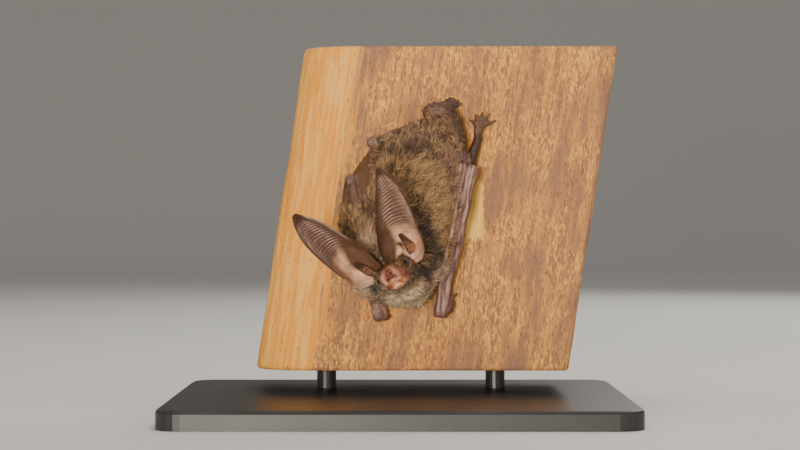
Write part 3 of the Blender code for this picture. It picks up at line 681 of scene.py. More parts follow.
def faceMasks(h):
    # share of each fold at points given in the head's mm; depth along the nose counts for less
    found = {}
    for fold, (stops, half, _) in faceFolds.items():
        far, _ = nearPath(h * (1, 0.35, 1), np.array(stops) * (1, 0.35, 1))
        found[fold] = np.exp(-((far / half) ** 2)) * ease(-0.5, 2.0, h[:, 1])
    return found


def foreheadBack(p):
    # how far the forehead is set back, in mm: above the muzzle nothing stands out past a falling limit
    h = inHead(p)
    limit = 4.4 - 8.4 * ease(1.5, 2.7, h[:, 2] + 0.12 * np.abs(h[:, 0]))
    return np.maximum(h[:, 1] - limit, 0) * ease(1.3, 1.7, h[:, 2]) * ease(5.2, 4.2, np.abs(h[:, 0]))


def shapeFace(p, n, marks):
    # swellings and grooves along the folds, a raised lid round each eye, small creases
    h = inHead(p)
    share = ease(0.15, 0.6, marks[:, 2])
    push = np.zeros(len(p))
    for fold, mask in faceMasks(h).items():
        push += mask * faceFolds[fold][2] * share
    gap = atEyes(p)
    push += 0.16 * hump(1.5, 0.3, gap)
    push += share * (0.05 * ripple(p, 1.1, 31) + 0.035 * ripple(p, 0.5, 32))
    return n * push[:, None]


def bareTone(p, marks):
    # colours of bare skin: mauve wings with painted highlights on their folds and painted shade in the grooves
    # and down their sides, amber where thin, brown toes, painted shade along the tail membrane's rolled top
    # edge
    x, z = p[:, 0], p[:, 2]
    colour = mix("wing", "wingLight", 0.3 + 0.3 * ripple(p * (1, 1, 0.35), 1.3, 41))
    thin = ease(-3.0, -4.5, x) * ease(-4, 1, z) * ease(18.6, 17.4, z)
    colour = mix(colour, mix("amber", "coatMid", 0.2 + 0.25 * ripple(p, 2.0, 43)), 0.96 * thin)
    for side, path in wingPaths.items():
        near, along, across, fold = wingFolds(p, path)
        if side == "right":
            near = near * (0.1 + 0.9 * ease(0.45, 0.75, along))
        vary = clamped(0.5 + 0.5 * ripple(p * (1, 1, 0.3), 1.6, 47))
        # painted highlights on the ridges of the folds, painted shade in the grooves between them
        colour = mix(colour, "wingLight", near * 0.7 * vary * fold**3)
        colour = mix(colour, "wingDark", near * (0.5 + 0.4 * vary) * (1 - fold) ** 2.2)
        # painted shade down the sides of each folded wing
        if side == "left":
            edge = ease(0.9, 1.6, across) + 0.7 * ease(-1.5, -2.1, across)
        else:
            edge = ease(-0.6, -1.4, across)
        colour = mix(colour, "wingDark", near * edge * 0.6)
        colour = mix(colour, mix("toe", "wing", 0.45), near * ease(0.93, 0.985, along) * 0.8)
    tail = ease(3.5, 5.5, x) * ease(23.5, 25.5, z)
    tailTone = mix("wingDark", "wing", clamped(0.2 + 0.45 * ripple(p, 0.9, 44)))
    colour = mix(colour, tailTone, 0.95 * tail)
    flank = ease(10.0, 11.5, x) * ease(15.5, 17.0, z) * (1 - tail)
    flankTone = mix("toe", "wing", clamped(0.3 + 0.45 * ripple(p, 0.8, 46)))
    colour = mix(colour, flankTone, 0.9 * flank)
    band = ease(-0.6, 0.4, x - 13.2 + 0.42 * (z - 22)) * ease(17, 19, z)
    colour = mix(colour, "shank", 0.8 * band)
    # painted shade along the tail membrane's rolled top edge
    colour = mix(colour, "earDark", 0.8 * tail * ease(27.3, 28.2, z))
    joints = mix("knuckle", "wingDark", 0.35 + 0.35 * ripple(p, 1.1, 45) + 0.4 * ease(8, 12, x))
    colour = mix(colour, joints, 0.85 * atKnobs(p))
    elbowEdge = hump(1.9, 0.45, farFrom(p, knobs["elbowRight"][0]))
    colour = mix(colour, "shank", 0.85 * elbowEdge * ease(-9.5, -11, x))
    colour = colour * (1 - 0.22 * ease(2, -14, z) * ease(6, 9, x))[:, None]  # the lower left wing
    toes = mix("toe", "coatMid", 0.3 + 0.3 * ripple(p, 1.2, 42))
    toes = mix(toes, "shank", 0.7 * ease(16, 14, x) * ease(25.5, 26.5, z))
    toes = mix(toes, "shank", 0.85 * ease(22.5, 21.0, z) * ease(10, 12, x) * ease(8, 12, z))
    return mix(colour, toes, marks[:, 3])


def faceTone(p):
    # pink muzzle: pale swellings either side of a dark red wedge, orange lips, reddish-brown cheeks; painted
    # shade towards its top and in its creases, painted highlights on the lips and nose pad
    h = inHead(p)
    side, up = h[:, 0], h[:, 2]
    masks = faceMasks(h)
    colour = mix("face", "lip", 0.2 + 0.3 * ripple(p, 1.2, 51))
    # painted shade towards the top of the muzzle, with dark mottling mixed in
    topShadeAndMottle = 0.55 * ease(1.3, 1.9, up + 0.3 * np.abs(side)) + 0.3 * clamped(ripple(p, 0.6, 52))
    colour = mix(colour, "darkRedAndShade", topShadeAndMottle)
    colour = mix(colour, "lip", 0.85 * ease(-1.2, -2.0, up) * ease(2.4, 3.6, h[:, 1]))
    colour = mix(colour, "cheekRed", 0.8 * ease(1.5, 2.0, side) * ease(-3.1, -2.4, up))
    colour = mix(colour, "cheekShade", 0.9 * ease(-2.55, -3.0, side))
    groove = hump(-0.1, 0.35, side - 1.5 - 0.1 * up) * ease(1.2, 0.4, up) * ease(-3, -2, up)
    colour = mix(colour, "cheekGroove", 0.7 * groove)
    wedge = ease(0.4, -0.05, side + 0.44 * up) * ease(-1.45, -1.05, side - 0.31 * up)
    wedge = wedge * ease(-1.35, -0.95, up) * ease(2.1, 1.5, up)
    colour = mix(colour, "wedge", 0.92 * wedge)
    colour = mix(colour, "wedgeLit", 0.7 * wedge * hump(-0.45, 0.5, side) * hump(0.1, 0.6, up))
    broken = clamped(0.7 + 0.6 * ripple(p, 0.5, 53))
    colour = mix(colour, "swelling", masks["swellLeft"] * broken)
    rim = mix("rim", "swelling", broken * hump(-1.2, 0.9, up))
    colour = mix(colour, rim, 0.9 * masks["swellRight"])
    colour = mix(colour, "lipRed", 0.9 * hump(-1.7, 0.5, side) * hump(-2.4, 0.7, up))
    colour = mix(colour, "mouthLit", 0.6 * masks["lipLine"] ** 3 + 0.25 * masks["nosePad"])
    colour = mix(colour, "darkRedAndShade", 0.4 * clamped(ripple(p, 0.55, 54) - 0.15))
    # painted shade in the creases: the wedge's edges, the nostrils, the mouth corners and the cheek's fold
    dark = sum(strength * masks[fold] for fold, strength in darkFolds.items())
    colour = mix(colour, "darkRedAndShade", np.clip(dark, 0, 0.97))
    return mix(colour, "brow", ease(-0.4, 0.1, aboveMuzzle(h)) * 0.85)


def aboveMuzzle(h):
    # height in the head's mm over an arch that is the muzzle's upper edge, lower on the left
    side = h[:, 0] - 0.3
    return h[:, 2] - 2.1 + np.where(side > 0, 0.39, 0.13) * side**2


def muzzleShare(h):
    # 1 on the bare muzzle: under the arch, between the cheeks, above the chin's coat, which rises at its sides
    chin = h[:, 2] + 4.7 - 0.14 * (h[:, 0] - 0.3) ** 2
    ends = ease(0.35, -0.15, aboveMuzzle(h)) * ease(0.0, 0.5, chin)
    return ends * ease(3.5, 3.1, h[:, 0]) * ease(-3.7, -3.3, h[:, 0]) * ease(0.6, 1.6, h[:, 1])


def besideElbow(p):
    # the leathery skin between the left elbow and the flank, where the coat is thin
    return blob(p, (10.3, 9, 12.2), (2.4, 9, 3.6))


def skinTone(p, marks):
    # what the skin shows: bare, face or coat colour by its marks, and a grey lid round each eye
    leather = mix("wing", "toe", 0.5 + 0.4 * ripple(p, 1.0, 48))
    leather = mix(leather, "wingLight", 0.8 * clamped(ripple(p, 0.5, 49)))
    furred = mix(coatTone(p) * 0.55, leather, clamped(1.5 * besideElbow(p)))
    colour = mix(bareTone(p, marks), furred, marks[:, 1])
    colour = mix(colour, faceTone(p), clamped(marks[:, 2] * 1.6 - 0.2))
    gap = atEyes(p)
    colour = mix(colour, "lidRing", hump(1.6, 0.45, gap))
    return mix(colour, "socket", ease(1.12, 1.0, gap))


def settledMarks(marks, spot):
    # the marks redrawn by place: the bare muzzle, bare joints, and coat over the right forearm
    h = inHead(spot)
    onFace = ease(6.5, 5.5, farFrom(h, (0, 4.0, -1.0))) * ease(0.0, 0.8, h[:, 1])
    bare = muzzleShare(h)
    marks[:, 1] += (1 - bare - marks[:, 1]) * onFace
    marks[:, 2] += (bare - marks[:, 2]) * onFace
    marks[:, 0] = np.maximum(marks[:, 0] * (1 - bare * onFace), 0.14 * (1 - bare) * onFace)
    marks[:, :2] *= 1 - atKnobs(spot)[:, None]
    marks[:, 0] *= ease(1.5, 3.2, atEyes(spot))
    besideFlank = np.linalg.norm((spot - (-6.2, 7.0, 9.5)) / (2.6, 4.0, 5.0), axis=1)
    marks[:, 0] *= 1 - 0.8 * ease(1.3, 0.7, besideFlank)  # the coat is thin where the flank skin joins
    shoulder = ease(4.6, 3.2, spot[:, 2]) * ease(-9.5, -7.5, spot[:, 2]) * ease(-5.0, -6.5, spot[:, 0])
    marks[:, 1] = np.maximum(marks[:, 1], shoulder)
    marks[:, 0] = np.maximum(marks[:, 0], 0.16 * shoulder)
    return marks


print("growing the skin together")
skinMesh, marks = grownTogether()
edges = edgesOf(skinMesh)
points = relaxed(pointsOf(skinMesh), edges, 5)
points -= foreheadBack(local(points))[:, None] * headAhead * (1, -1, 1) * mm
setPoints(skinMesh, points)
spot = local(points)
marks = settledMarks(clamped(relaxed(marks, edges, 6)), spot)
depth = relaxed(marks[:, :1] * 2, edges, 12)[:, 0]
points -= normalsOf(skinMesh) * ((depth + skinValues["swell"]) * mm)[:, None]
setPoints(skinMesh, points)
points += shapeBareSkin(local(points), normalsOf(skinMesh), marks) * mm
corner = ease(12.4, 15.0, spot[:, 2]) * ease(17.0, 15.6, spot[:, 2]) * ease(15.8, 17.4, spot[:, 0])
points[:, 2] -= 1.1 * mm * corner * (1 - marks[:, 1]) * (1 - marks[:, 3])  # rounds the left elbow
setPoints(skinMesh, points)
paint(skinMesh, "marks", marks)
print("skin drawn in,", len(skinMesh.polygons), "faces")


def thinHidden(mesh, marks):
    # collapses faces under the coat and against the wood, and leaves bare skin as fine as it is
    piece = shown("thinning", mesh)
    behind = (local(pointsOf(mesh))[:, 1] < 5) & (normalsOf(mesh)[:, 1] > 0.55)
    hidden = ((marks[:, 1] > 0.75) & (marks[:, 2] < 0.05)) | behind
    group = piece.vertex_groups.new(name="hidden")
    group.add(np.nonzero(hidden)[0].tolist(), 1.0, "REPLACE")
    triangles = trianglesOf(mesh)
    covered = int(hidden[triangles].all(1).sum())
    thin = piece.modifiers.new("thin", "DECIMATE")
    thin.vertex_group = "hidden"
    thin.ratio = (len(triangles) - covered + skinValues["hiddenFaces"]) / len(triangles)
    made = evaluated(piece, "thinned")
    bpy.data.objects.remove(piece)
    return made


def finerFace(mesh):
    # halves every edge of the muzzle and round the eyes
    work = bmesh.new()
    work.from_mesh(mesh)
    chosen = (marksOf(mesh)[:, 2] > 0.25) | (atEyes(local(pointsOf(mesh))) < 2.2)
    work.verts.ensure_lookup_table()
    edges = [e for e in work.edges if chosen[e.verts[0].index] and chosen[e.verts[1].index]]
    bmesh.ops.subdivide_edges(work, edges=edges, cuts=1, use_grid_fill=True)
    bmesh.ops.triangulate(work, faces=[f for f in work.faces if len(f.verts) > 4])
    work.to_mesh(mesh)
    work.free()
    return mesh


skinMesh = finerFace(thinHidden(skinMesh, marks))
marks = marksOf(skinMesh)
points = pointsOf(skinMesh)
soft = relaxed(points, edgesOf(skinMesh), 3)
points += (soft - points) * ease(0.1, 0.4, marks[:, 2])[:, None]
setPoints(skinMesh, points)
points += shapeFace(local(points), normalsOf(skinMesh), marks) * mm
setPoints(skinMesh, points)
skinParts = [(points, trianglesOf(skinMesh), skinTone(local(points), marks), bareSkin)]
print("skin shaped,", len(skinParts[0][1]), "triangles")


# ears are hollow leaves between two edges, ribbed inside, with rolled rims

earValues = dict(
    rows=168,
    columns=30,
    thickness=0.2,  # mm
    rim=0.24,  # mm the rims are thicker
    ribs=17,
    ribHeight=0.11,  # mm
    rootOff=18.5,  # mm off the wood, where the lean starts
    earReach=1.65,  # how far the height over the root is stretched
    tragusReach=1.9,
    sightLength=480.0,  # mm
)
earEdges = dict(  # inner edge, outer edge, half opening of the section in degrees; base to tip
    earLeft=[
        ((-2.9, 20.0, -8.5), (3.5, 17.8, -9.9), 72),
        ((-4.5, 20.4, -6.2), (5.1, 20.8, -7.8), 70),
        ((-5.1, 22.5, -3.6), (5.4, 22.2, -4.8), 80),
        ((-5.4, 25.0, -0.7), (3.9, 24.2, -1.0), 80),
        ((-5.6, 27.6, 3.4), (2.2, 26.7, 3.6), 70),
        ((-5.6, 29.8, 7.4), (0.0, 29.2, 7.6), 56),
        ((-5.6, 31.3, 11.0), (-2.7, 31.0, 10.8), 40),
        ((-5.5, 32.0, 13.0), (-4.4, 32.0, 12.7), 25),
    ],
    earRight=[
        ((-5.0, 19.2, -9.2), (-5.6, 18.2, -13.8), 80),
        ((-7.3, 20.0, -6.8), (-9.6, 20.0, -14.4), 84),
        ((-9.4, 21.7, -4.6), (-12.6, 21.5, -12.4), 88),
        ((-11.9, 24.0, -3.1), (-15.1, 23.6, -10.4), 84),
        ((-14.9, 27.0, -1.0), (-18.4, 26.3, -7.6), 70),
        ((-18.0, 29.7, 0.8), (-21.3, 29.2, -4.3), 56),
        ((-21.1, 32.0, 2.0), (-23.1, 31.7, -1.1), 40),
        ((-23.5, 33.0, 2.7), (-24.1, 33.0, 1.7), 25),
    ],
)
tragusEdges = dict(
    tragusLeft=[
        ((2.3, 19.5, -6.9), (3.5, 19.5, -6.0), 50),
        ((1.5, 20.2, -5.7), (3.3, 20.2, -4.5), 55),
        ((0.5, 20.7, -3.7), (1.4, 20.7, -3.0), 45),
        ((-0.5, 21.2, -2.2), (0.0, 21.2, -1.8), 20),
    ],
    tragusRight=[
        ((-5.9, 19.4, -12.0), (-6.6, 19.4, -10.4), 50),
        ((-7.4, 20.1, -11.6), (-8.0, 20.1, -9.5), 55),
        ((-9.0, 20.8, -10.5), (-9.4, 20.8, -8.8), 45),
        ((-10.9, 21.4, -9.0), (-10.8, 21.4, -8.4), 20),
    ],
)
earPanelAtRoot = dict(earLeft=0.37, earRight=0.51)  # how far across the brown inner part reaches at the base
earRoots = dict(earLeft=(0.6, 14.5, -9.6), earRight=(-4.0, 14.5, -11.5))  # inside the head


def leantOut(stops, reach):
    # stretches the height off the root and slides each point along the line of sight, as the solids do
    stops = np.array(stops, float)
    off = earValues["rootOff"] + (stops[:, 1] - earValues["rootOff"]) * reach
    closer = (earValues["sightLength"] - off) / (earValues["sightLength"] - stops[:, 1])
    return np.stack([stops[:, 0] * closer, off, stops[:, 2] * closer], 1)


def leafSurface(rows, reach, u, v):
    # a section at u is an arc of the given half opening between the two edges, hollow towards the viewer
    first = smoothCurve(leantOut([r[0] for r in rows], reach), u)
    second = smoothCurve(leantOut([r[1] for r in rows], reach), u)
    wide = np.radians(smoothCurve([[r[2]] for r in rows], u))
    middle = (first + second) / 2
    along = unit(np.gradient(middle, axis=0))
    across = second - first
    across -= along * (across * along).sum(-1, keepdims=True)
    half = np.linalg.norm(across, axis=-1, keepdims=True) / 2
    across = unit(across)
    away = np.cross(along, across)
    away *= np.where(away[..., 1:2] < 0, 1, -1)
    radius = half / np.sin(wide)
    spin = (2 * v[..., None] - 1) * wide
    place = middle + across * radius * np.sin(spin) + away * radius * (np.cos(spin) - np.cos(wide))
    return place, unit(across * np.sin(spin) + away * np.cos(spin))


def ribWave(u, v):
    # 1 on a rib, 0 between, leaning towards the tip away from the inner edge
    phase = (u - 0.11 * v - 0.28) / 0.54 * earValues["ribs"]
    reach = ease(0.29, 0.34, u - 0.11 * v) * ease(0.86, 0.80, u - 0.05 * v)
    return (0.5 + 0.5 * np.cos(2 * math.pi * phase)) ** 3 * reach


def earFlesh(u, v):
    # an ear's ribs, and how its sheet wavers: soft waves, a fold beside the outer edge at the base,
    # the hollow of the ear's mouth, and fine wrinkles by the outer rim
    rib = ribWave(u, v) * ease(0.16, 0.26, v) * ease(0.7, 0.42, v)
    wobble = 0.05 * np.sin(2 * math.pi * (v * 7 + 3 * u)) * ease(0.1, 0.4, u)
    base = ease(0.3, 0.12, u)
    wobble = wobble - 0.28 * hump(0.84, 0.05, v) * base + 0.22 * hump(0.93, 0.03, v) * base
    wobble = wobble + 0.5 * hump(0.13, 0.05, u) * hump(0.46, 0.08, v)
    wobble = wobble - 0.2 * hump(0.28, 0.10, v) * ease(0.36, 0.2, u)
    return rib, wobble + 0.05 * outerWrinkles(u, v) * ease(0.34, 0.2, u)


def outerWrinkles(u, v):
    return np.sin(v * 75 + 2 * u) * ease(0.68, 0.8, v)


def earShell(rows, reach, root=None):
    # front and back of the leaf in one closed loop per row; the tip is a point, and a cone closes the root
    isEar = root is not None
    count, wide = (earValues["rows"], earValues["columns"]) if isEar else (40, 16)
    along = np.interp(np.linspace(0, 1, count), [0, 0.19, 0.88, 1], [0, 0.29, 0.88, 1])  # closer over the ribs
    u, v = np.meshgrid(along, np.linspace(0, 1, wide), indexing="ij")
    place, back = leafSurface(rows, reach, u, v)
    rim = (hump(0, 0.045, v) + 0.7 * hump(1, 0.035, v)) * (1 if isEar else 0.5)
    thick = (earValues["thickness"] + earValues["rim"] * rim) * (1 - 0.6 * ease(0.9, 1.0, u))
    rib, wobble = earFlesh(u, v) if isEar else (np.zeros_like(u), 0.03 * np.sin(9 * v))
    rib = rib * earValues["ribHeight"]
    front = place - back * (thick / 2 + rib - wobble)[..., None]
    rear = place + back * (thick / 2 - rib * 0.6 + wobble)[..., None]
    loop = np.concatenate([front, rear[:, ::-1]], 1)
    loop[-1] = loop[-1].mean(0)
    us, vs, isFront = (
        np.concatenate([f, r[:, ::-1]], 1).ravel()
        for f, r in ((u, u), (v, v), (np.ones_like(u), np.zeros_like(u)))
    )
    flat = np.vstack([loop.reshape(-1, 3), root if isEar else loop[0].mean(0)])
    faces = np.vstack([halves(gridFaces(count, 2 * wide, wrap=True)), cone(2 * wide, len(flat) - 1)])
    return flat, faces, np.append(us, 0), np.append(vs, 0.5), np.append(isFront, 1)


def earTone(p, u, v, front, leaf):
    # mauve-brown with thin pale ribs, painted highlights on the right ear's inner rim and along the outer
    # margin, dark tip, outer edge darkened as painted shade, the left ear's opening painted dark as its shade,
    # peach root
    colour = mix("ear", "wingLight", 0.18 + 0.18 * ripple(p, 2.5, 61) + 0.3 * ease(0.35, 0.8, v))
    edge = 0.26 + (earPanelAtRoot[leaf] - 0.26) * ease(0.5, 0.15, u)
    colour = mix(colour, "earPanel", 0.85 * ease(edge + 0.02, edge - 0.06, v))
    colour = mix(colour, "wingLight", 0.35 * clamped(ripple(p, 0.6, 63)) * front * ease(0.35, 0.5, u))
    wave = ribWave(u, v)
    between = (1 - wave) * ease(0.32, 0.38, u) * ease(0.15, 0.25, v) * ease(0.9, 0.6, v)
    colour = mix(colour, "earPanel", 0.8 * between)
    strong = 1.2 * hump(edge + 0.09, 0.11, v) + 0.12 * ease(0.3, 0.5, v) * ease(0.9, 0.7, v)
    colour = mix(colour, "earRibAndHighlight", np.clip(wave**1.8 * front * strong, 0, 0.95))
    root = ease(0.40, 0.26, u) * front * ease(edge - 0.05, edge + 0.05, v)
    colour = mix(colour, "earBase", root * (0.78 + 0.22 * ripple(p, 1.2, 64)))
    colour = mix(colour, "earFold", 0.65 * root * ease(0.66, 0.82, v) * ease(0.1, 0.2, u))
    veins = clamped(ripple(p, 0.7, 66) + 0.4 * outerWrinkles(u, v))
    colour = mix(colour, "earVein", 0.5 * root * veins)
    # a painted highlight along the outer margin
    line = hump(0.87, 0.022, v) * ease(0.36, 0.44, u) * ease(0.72, 0.62, u)
    colour = mix(colour, "earRibAndHighlight", 0.95 * front * line * clamped(0.6 + 0.6 * ripple(p, 0.5, 65)))
    if leaf == "earLeft":
        colour = mix(colour, "earYellow", 0.6 * hump(0.04, 0.022, u) * hump(0.55, 0.035, v) * front)
    colour = mix(colour, "earRootLit", 0.5 * root * ease(0.2, 0.08, u) * ease(0.6, 0.8, v))
    colour = mix(colour, "earEdgeLit", 0.6 * root * hump(edge + 0.07, 0.05, v))
    colour = mix(colour, "earPanel", 0.55 * front * ease(0.3, 0.15, u) * hump(0.885, 0.022, v))
    colour = mix(colour, "earDark", 0.8 * ease(0.84, 0.93, u + 0.05 * v))
    # painted shade along the outer edge
    colour = mix(colour, "earDark", 0.75 * ease(0.955, 0.99, v) * ease(0.1, 0.3, u))
    # a painted highlight along the right ear's inner rim
    lit = 0.5 if leaf == "earRight" else 0.0
    colour = mix(colour, "earRibAndHighlight", lit * ease(0.04, 0.02, v) * ease(0.4, 0.55, u) * ease(0.95, 0.85, u))
    colour = mix(colour, "earDark", (0.8 - 1.2 * lit) * ease(0.07, 0.02, v))
    if leaf == "earLeft":
        # the ear's opening painted dark, as its shade
        hole = hump(0.125, 0.045, u) * hump(0, 0.042, v - 0.45 - 1.5 * (0.125 - u)) * front
        colour = mix(colour, "earHole", np.clip(1.7 * hole, 0, 0.96))
    return colour


def tragusTone(p, u, v):
    # brown with a lighter drift, darkened towards the tip as painted shade, and dark along the inner edge
    colour = mix("tragus", "tragusLit", 0.5 + 0.5 * ripple(p, 0.8, 62))
    # painted shade towards the tip
    colour = mix(colour, "earDark", 0.9 * ease(0.35, 0.7, u + 0.15 * (v - 0.5)))
    return mix(colour, "earDark", 0.5 * ease(0.2, 0.02, v))


for leaf, rows in earEdges.items():
    p, faces, u, v, front = earShell(rows, earValues["earReach"], earRoots[leaf])
    skinParts.append((at(*p.T), faces, earTone(p, u, v, front, leaf), earSkin))
for rows in tragusEdges.values():
    p, faces, u, v, _ = earShell(rows, earValues["tragusReach"])
    skinParts.append((at(*p.T), faces, tragusTone(p, u, v), earSkin))
print("ears made")

lidValues = dict(
    looks=((0.16, 0.97, 0.02), (-0.9, 0.42, 0.12)),  # where left and right opening point, in the head's mm
    opening=36,  # degrees, half of its width
    reach=80,  # degrees the lid runs on behind it
    points=48,
    rings=9,
    inside=1.055,  # mm from the eye's middle
    outside=1.07,
    bulge=0.07,
)


def lidRing(sign, look):
    # a thick cap round the eyeball with an almond opening, turned to look out of the head
    count, rings = lidValues["points"], lidValues["rings"]
    ahead = unit(np.array(look))
    sideways = unit(np.cross(ahead, [0, 0, 1]))
    upwards = np.cross(sideways, ahead)
    spin = np.linspace(0, 2 * math.pi, count, endpoint=False)[None]
    profile = np.linspace(0, 1, rings)[:, None]
    opening = np.radians(lidValues["opening"] + 4 * np.cos(2 * spin) + 2 * np.sin(spin))
    polar = (opening + profile * np.radians(lidValues["reach"]))[..., None]
    bulge = lidValues["bulge"] * np.sin(np.pi * clamped(profile * 1.9)) * (1 + 0.2 * np.sin(3 * spin))
    outside = (lidValues["outside"] + bulge - 0.08 * profile)[..., None]
    around = np.cos(spin)[..., None] * sideways + np.sin(spin)[..., None] * upwards
    way = np.cos(polar) * ahead + np.sin(polar) * around
    loop = np.concatenate([way * outside, way[::-1] * lidValues["inside"]], 0)
    flat = fromHead(loop.reshape(-1, 3) + np.array(eyePlace) * (sign, 1, 1))
    ends, last = np.arange(count), (2 * rings - 1) * count
    after = np.roll(ends, -1)
    close = np.stack([ends, after, after + last, ends + last], 1)[:, ::-1]
    quads = np.vstack([gridFaces(2 * rings, count, wrap=True), close])
    share = np.r_[ease(0.4, 0.05, profile[:, 0]), np.ones(rings)]
    return at(*flat.T), halves(quads), mix("lid", "lidEdge", np.repeat(share, count)), bareSkin


for sign, look in zip((1, -1), lidValues["looks"]):
    skinParts.append(lidRing(sign, look))

skinMaterials = [bareSkin, earSkin]
points, faces, colours, kinds = stacked([
    (p, t, c, np.full(len(t), skinMaterials.index(material), np.int32)) for p, t, c, material in skinParts
])
skin = addPiece("skin", points, faces, skinMaterials, colours)
skin.data.polygons.foreach_set("material_index", kinds)
paint(skin.data, "marks", np.vstack([marks, np.zeros((len(points) - len(marks), 4))]))
outwards(skin.data)
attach(skin, "root")
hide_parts(*fleshNodes, "ear_left", "ear_right", "tragus_left", "tragus_right")
print("one skin,", len(skin.data.polygons), "triangles")


# eyes and claws

def ballPiece(name, centre, radius, material, node):
    # a ball by latitude and longitude, poles closed to points
    rows, columns = 33, 64
    lat, lon = np.meshgrid(
        np.linspace(0, math.pi, rows), np.linspace(0, 2 * math.pi, columns, endpoint=False), indexing="ij"
    )
    p = np.stack([np.sin(lat) * np.cos(lon), np.sin(lat) * np.sin(lon), np.cos(lat)], -1).reshape(-1, 3)
    piece = addPiece(name, p * radius * mm + centre, gridFaces(rows, columns, wrap=True), [material])
    outwards(piece.data)
    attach(piece, "root")
    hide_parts(node)


eyeBlack, tree, shader = newMaterial("eyeBlack")
iris = {"Color1": (0.003, 0.002, 0.002, 1), "Color2": (0.010, 0.006, 0.004, 1)}
wire(tree, shader, {
    "Base Color": result(tree, "MixRGB", {"Fac": noise(tree, objectPlace(tree), 900), **iris}),
    "Roughness": 0.04,
    "Specular IOR Level": 0.45,
})
for side in ("left", "right"):
    low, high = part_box("eye_" + side)
    middle = np.array((low + high) / 2)
    ballPiece("eye" + side.capitalize(), middle, eyeRadius - 0.01, eyeBlack, "eye_" + side)


def tubes(paths, radii, sides=8, steps=10):
    # a round tapering tube along each smooth path; ends closed to points
    t = np.linspace(0, 1, steps)
    spin = np.linspace(0, 2 * math.pi, sides, endpoint=False)[None, :, None]
    wide = np.interp(t, np.linspace(0, 1, len(radii)), radii)[:, None, None]
    parts = []
    for stops in paths:
        line = smoothCurve(stops, t)
        along = unit(np.gradient(line, axis=0))
        one = unit(np.cross(along, [0.31, 0.2, 0.93]))
        two = np.cross(along, one)
        rings = line[:, None] + wide * (one[:, None] * np.cos(spin) + two[:, None] * np.sin(spin))
        rings[0], rings[-1] = line[0], line[-1]
        parts.append((rings.reshape(-1, 3), gridFaces(steps, sides, wrap=True)))
    return stacked(parts)


clawValues = dict(
    radii=(0.2, 0.24, 0.15, 0.03),  # mm, root to point
    thumbs=[  # across, off, up
        [(12.6, 2.0, -17.2), (13.1, 1.9, -16.7), (13.6, 0.9, -16.4), (13.7, 0.3, -16.5)],
        [(-3.2, 2.2, -22.3), (-2.8, 1.9, -22.0), (-2.3, 0.9, -21.6), (-2.2, 0.3, -21.5)],
    ],
    toe=[(0.95, 1.35), (0.4, 1.25), (-0.05, 0.75), (-0.12, 0.2)],  # back from the toe's tip, off
)
toeTips = dict(
    left=[(16.6, 25.3), (18.0, 26.5), (19.6, 26.9), (21.4, 26.7), (22.9, 25.0)],
    right=[(10.8, 30.1), (11.9, 30.5), (12.9, 30.3), (13.8, 29.8), (14.6, 29.0)],
)
palms = dict(left=(18.9, 23.3), right=(11.3, 27.0))
clawPaths = [np.array(stops) for stops in clawValues["thumbs"]]
for side, tips in toeTips.items():
    for x, z in tips:
        way = unit(np.array([x, z]) - palms[side])
        path = [(x - way[0] * back, off, z - way[1] * back) for back, off in clawValues["toe"]]
        clawPaths.append(np.array(path))
p, quads = tubes(clawPaths, clawValues["radii"])
claws = addPiece("claws", at(*p.T), quads, [clawHorn], mix("claw", "clawTip", 0.5 + 0.5 * ripple(p, 1, 71)))
outwards(claws.data)
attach(claws, "root")
print("eyes and claws made")


# the skin's own unwrap, which the coat's roots read their places from

bpy.context.view_layer.objects.active = skin
skin.data.uv_layers.new(name="OFBake")
skin.select_set(True)
bpy.ops.object.mode_set(mode="EDIT")
bpy.ops.mesh.select_all(action="SELECT")
bpy.ops.uv.smart_project(angle_limit=math.radians(75), island_margin=0.001)
bpy.ops.object.mode_set(mode="OBJECT")
skin.select_set(False)
print("skin unwrapped")

coatValues = dict(
    seed=11,
    perPiece=12400,  # tufts in one piece, 16 triangles each
    density=(38.0, 62.0),  # roots to a square mm, on the back and by the muzzle
    hiddenDensity=4.0,  # against the wood
    length=(3.3, 0.95),  # mm, on the back and by the muzzle
    width=(0.14, 0.085),
    deepest=1.25,  # mm
    clump=(0.48, 1.3, 81),  # how far locks sweep together: share, size in mm, seed
    drift=(0.22, 4.5, 84),
    lock=0.9,  # mm, the size of locks that stand together; a lock that stands higher is painted lighter and one that lies low darker, as painted light and shade
    flyaway=0.06,  # share of tufts that stand out
    guard=0.17,  # share of wider pale locks that lie on top
    guardWidth=1.55,
    sunk=0.12,  # mm a root is buried, less where the coat is thin
)
# which way the coat lies: a place on the body and a direction there, both across, off, up
coatLie = [
    ((0, 17, 16), (0.25, 0.0, 1.0)),
    ((8, 12, 20), (0.35, 0.1, 1.0)),
    ((2, 10, 24), (0.1, -0.2, 1.0)),
    ((-6, 8, 19), (-1.0, -0.1, 0.25)),
    ((3, 17, 13), (0.85, 0.0, 0.5)),
    ((4, 18, 7), (0.7, 0.1, 0.7)),
    ((9, 14, 4), (0.72, 0.0, 0.68)),
    ((-4, 17, 6), (0.35, 0.0, 0.95)),
    ((-9, 12, 4), (-0.35, 0.0, 0.95)),
    ((-8, 14, -5), (-0.5, 0.0, 0.85)),
    ((10, 12, -5), (0.75, -0.1, 0.55)),
    ((9.5, 12, -12), (0.95, -0.2, 0.1)),
    ((4.5, 13, -17.5), (0.75, -0.5, -0.55)),
    ((-0.5, 12, -18.5), (0.2, -0.5, -0.85)),
    ((-7, 12, -16), (-0.7, -0.4, -0.6)),
    ((-10, 11, -11), (-0.95, -0.2, 0.15)),
    ((-2.6, 19, -7.6), (-0.55, -0.5, 0.7)),  # crown
    ((2.6, 18, -12.5), (0.8, -0.5, -0.3)),  # left cheek
    ((-4.8, 18, -14.0), (-0.7, -0.5, -0.5)),  # right cheek
]


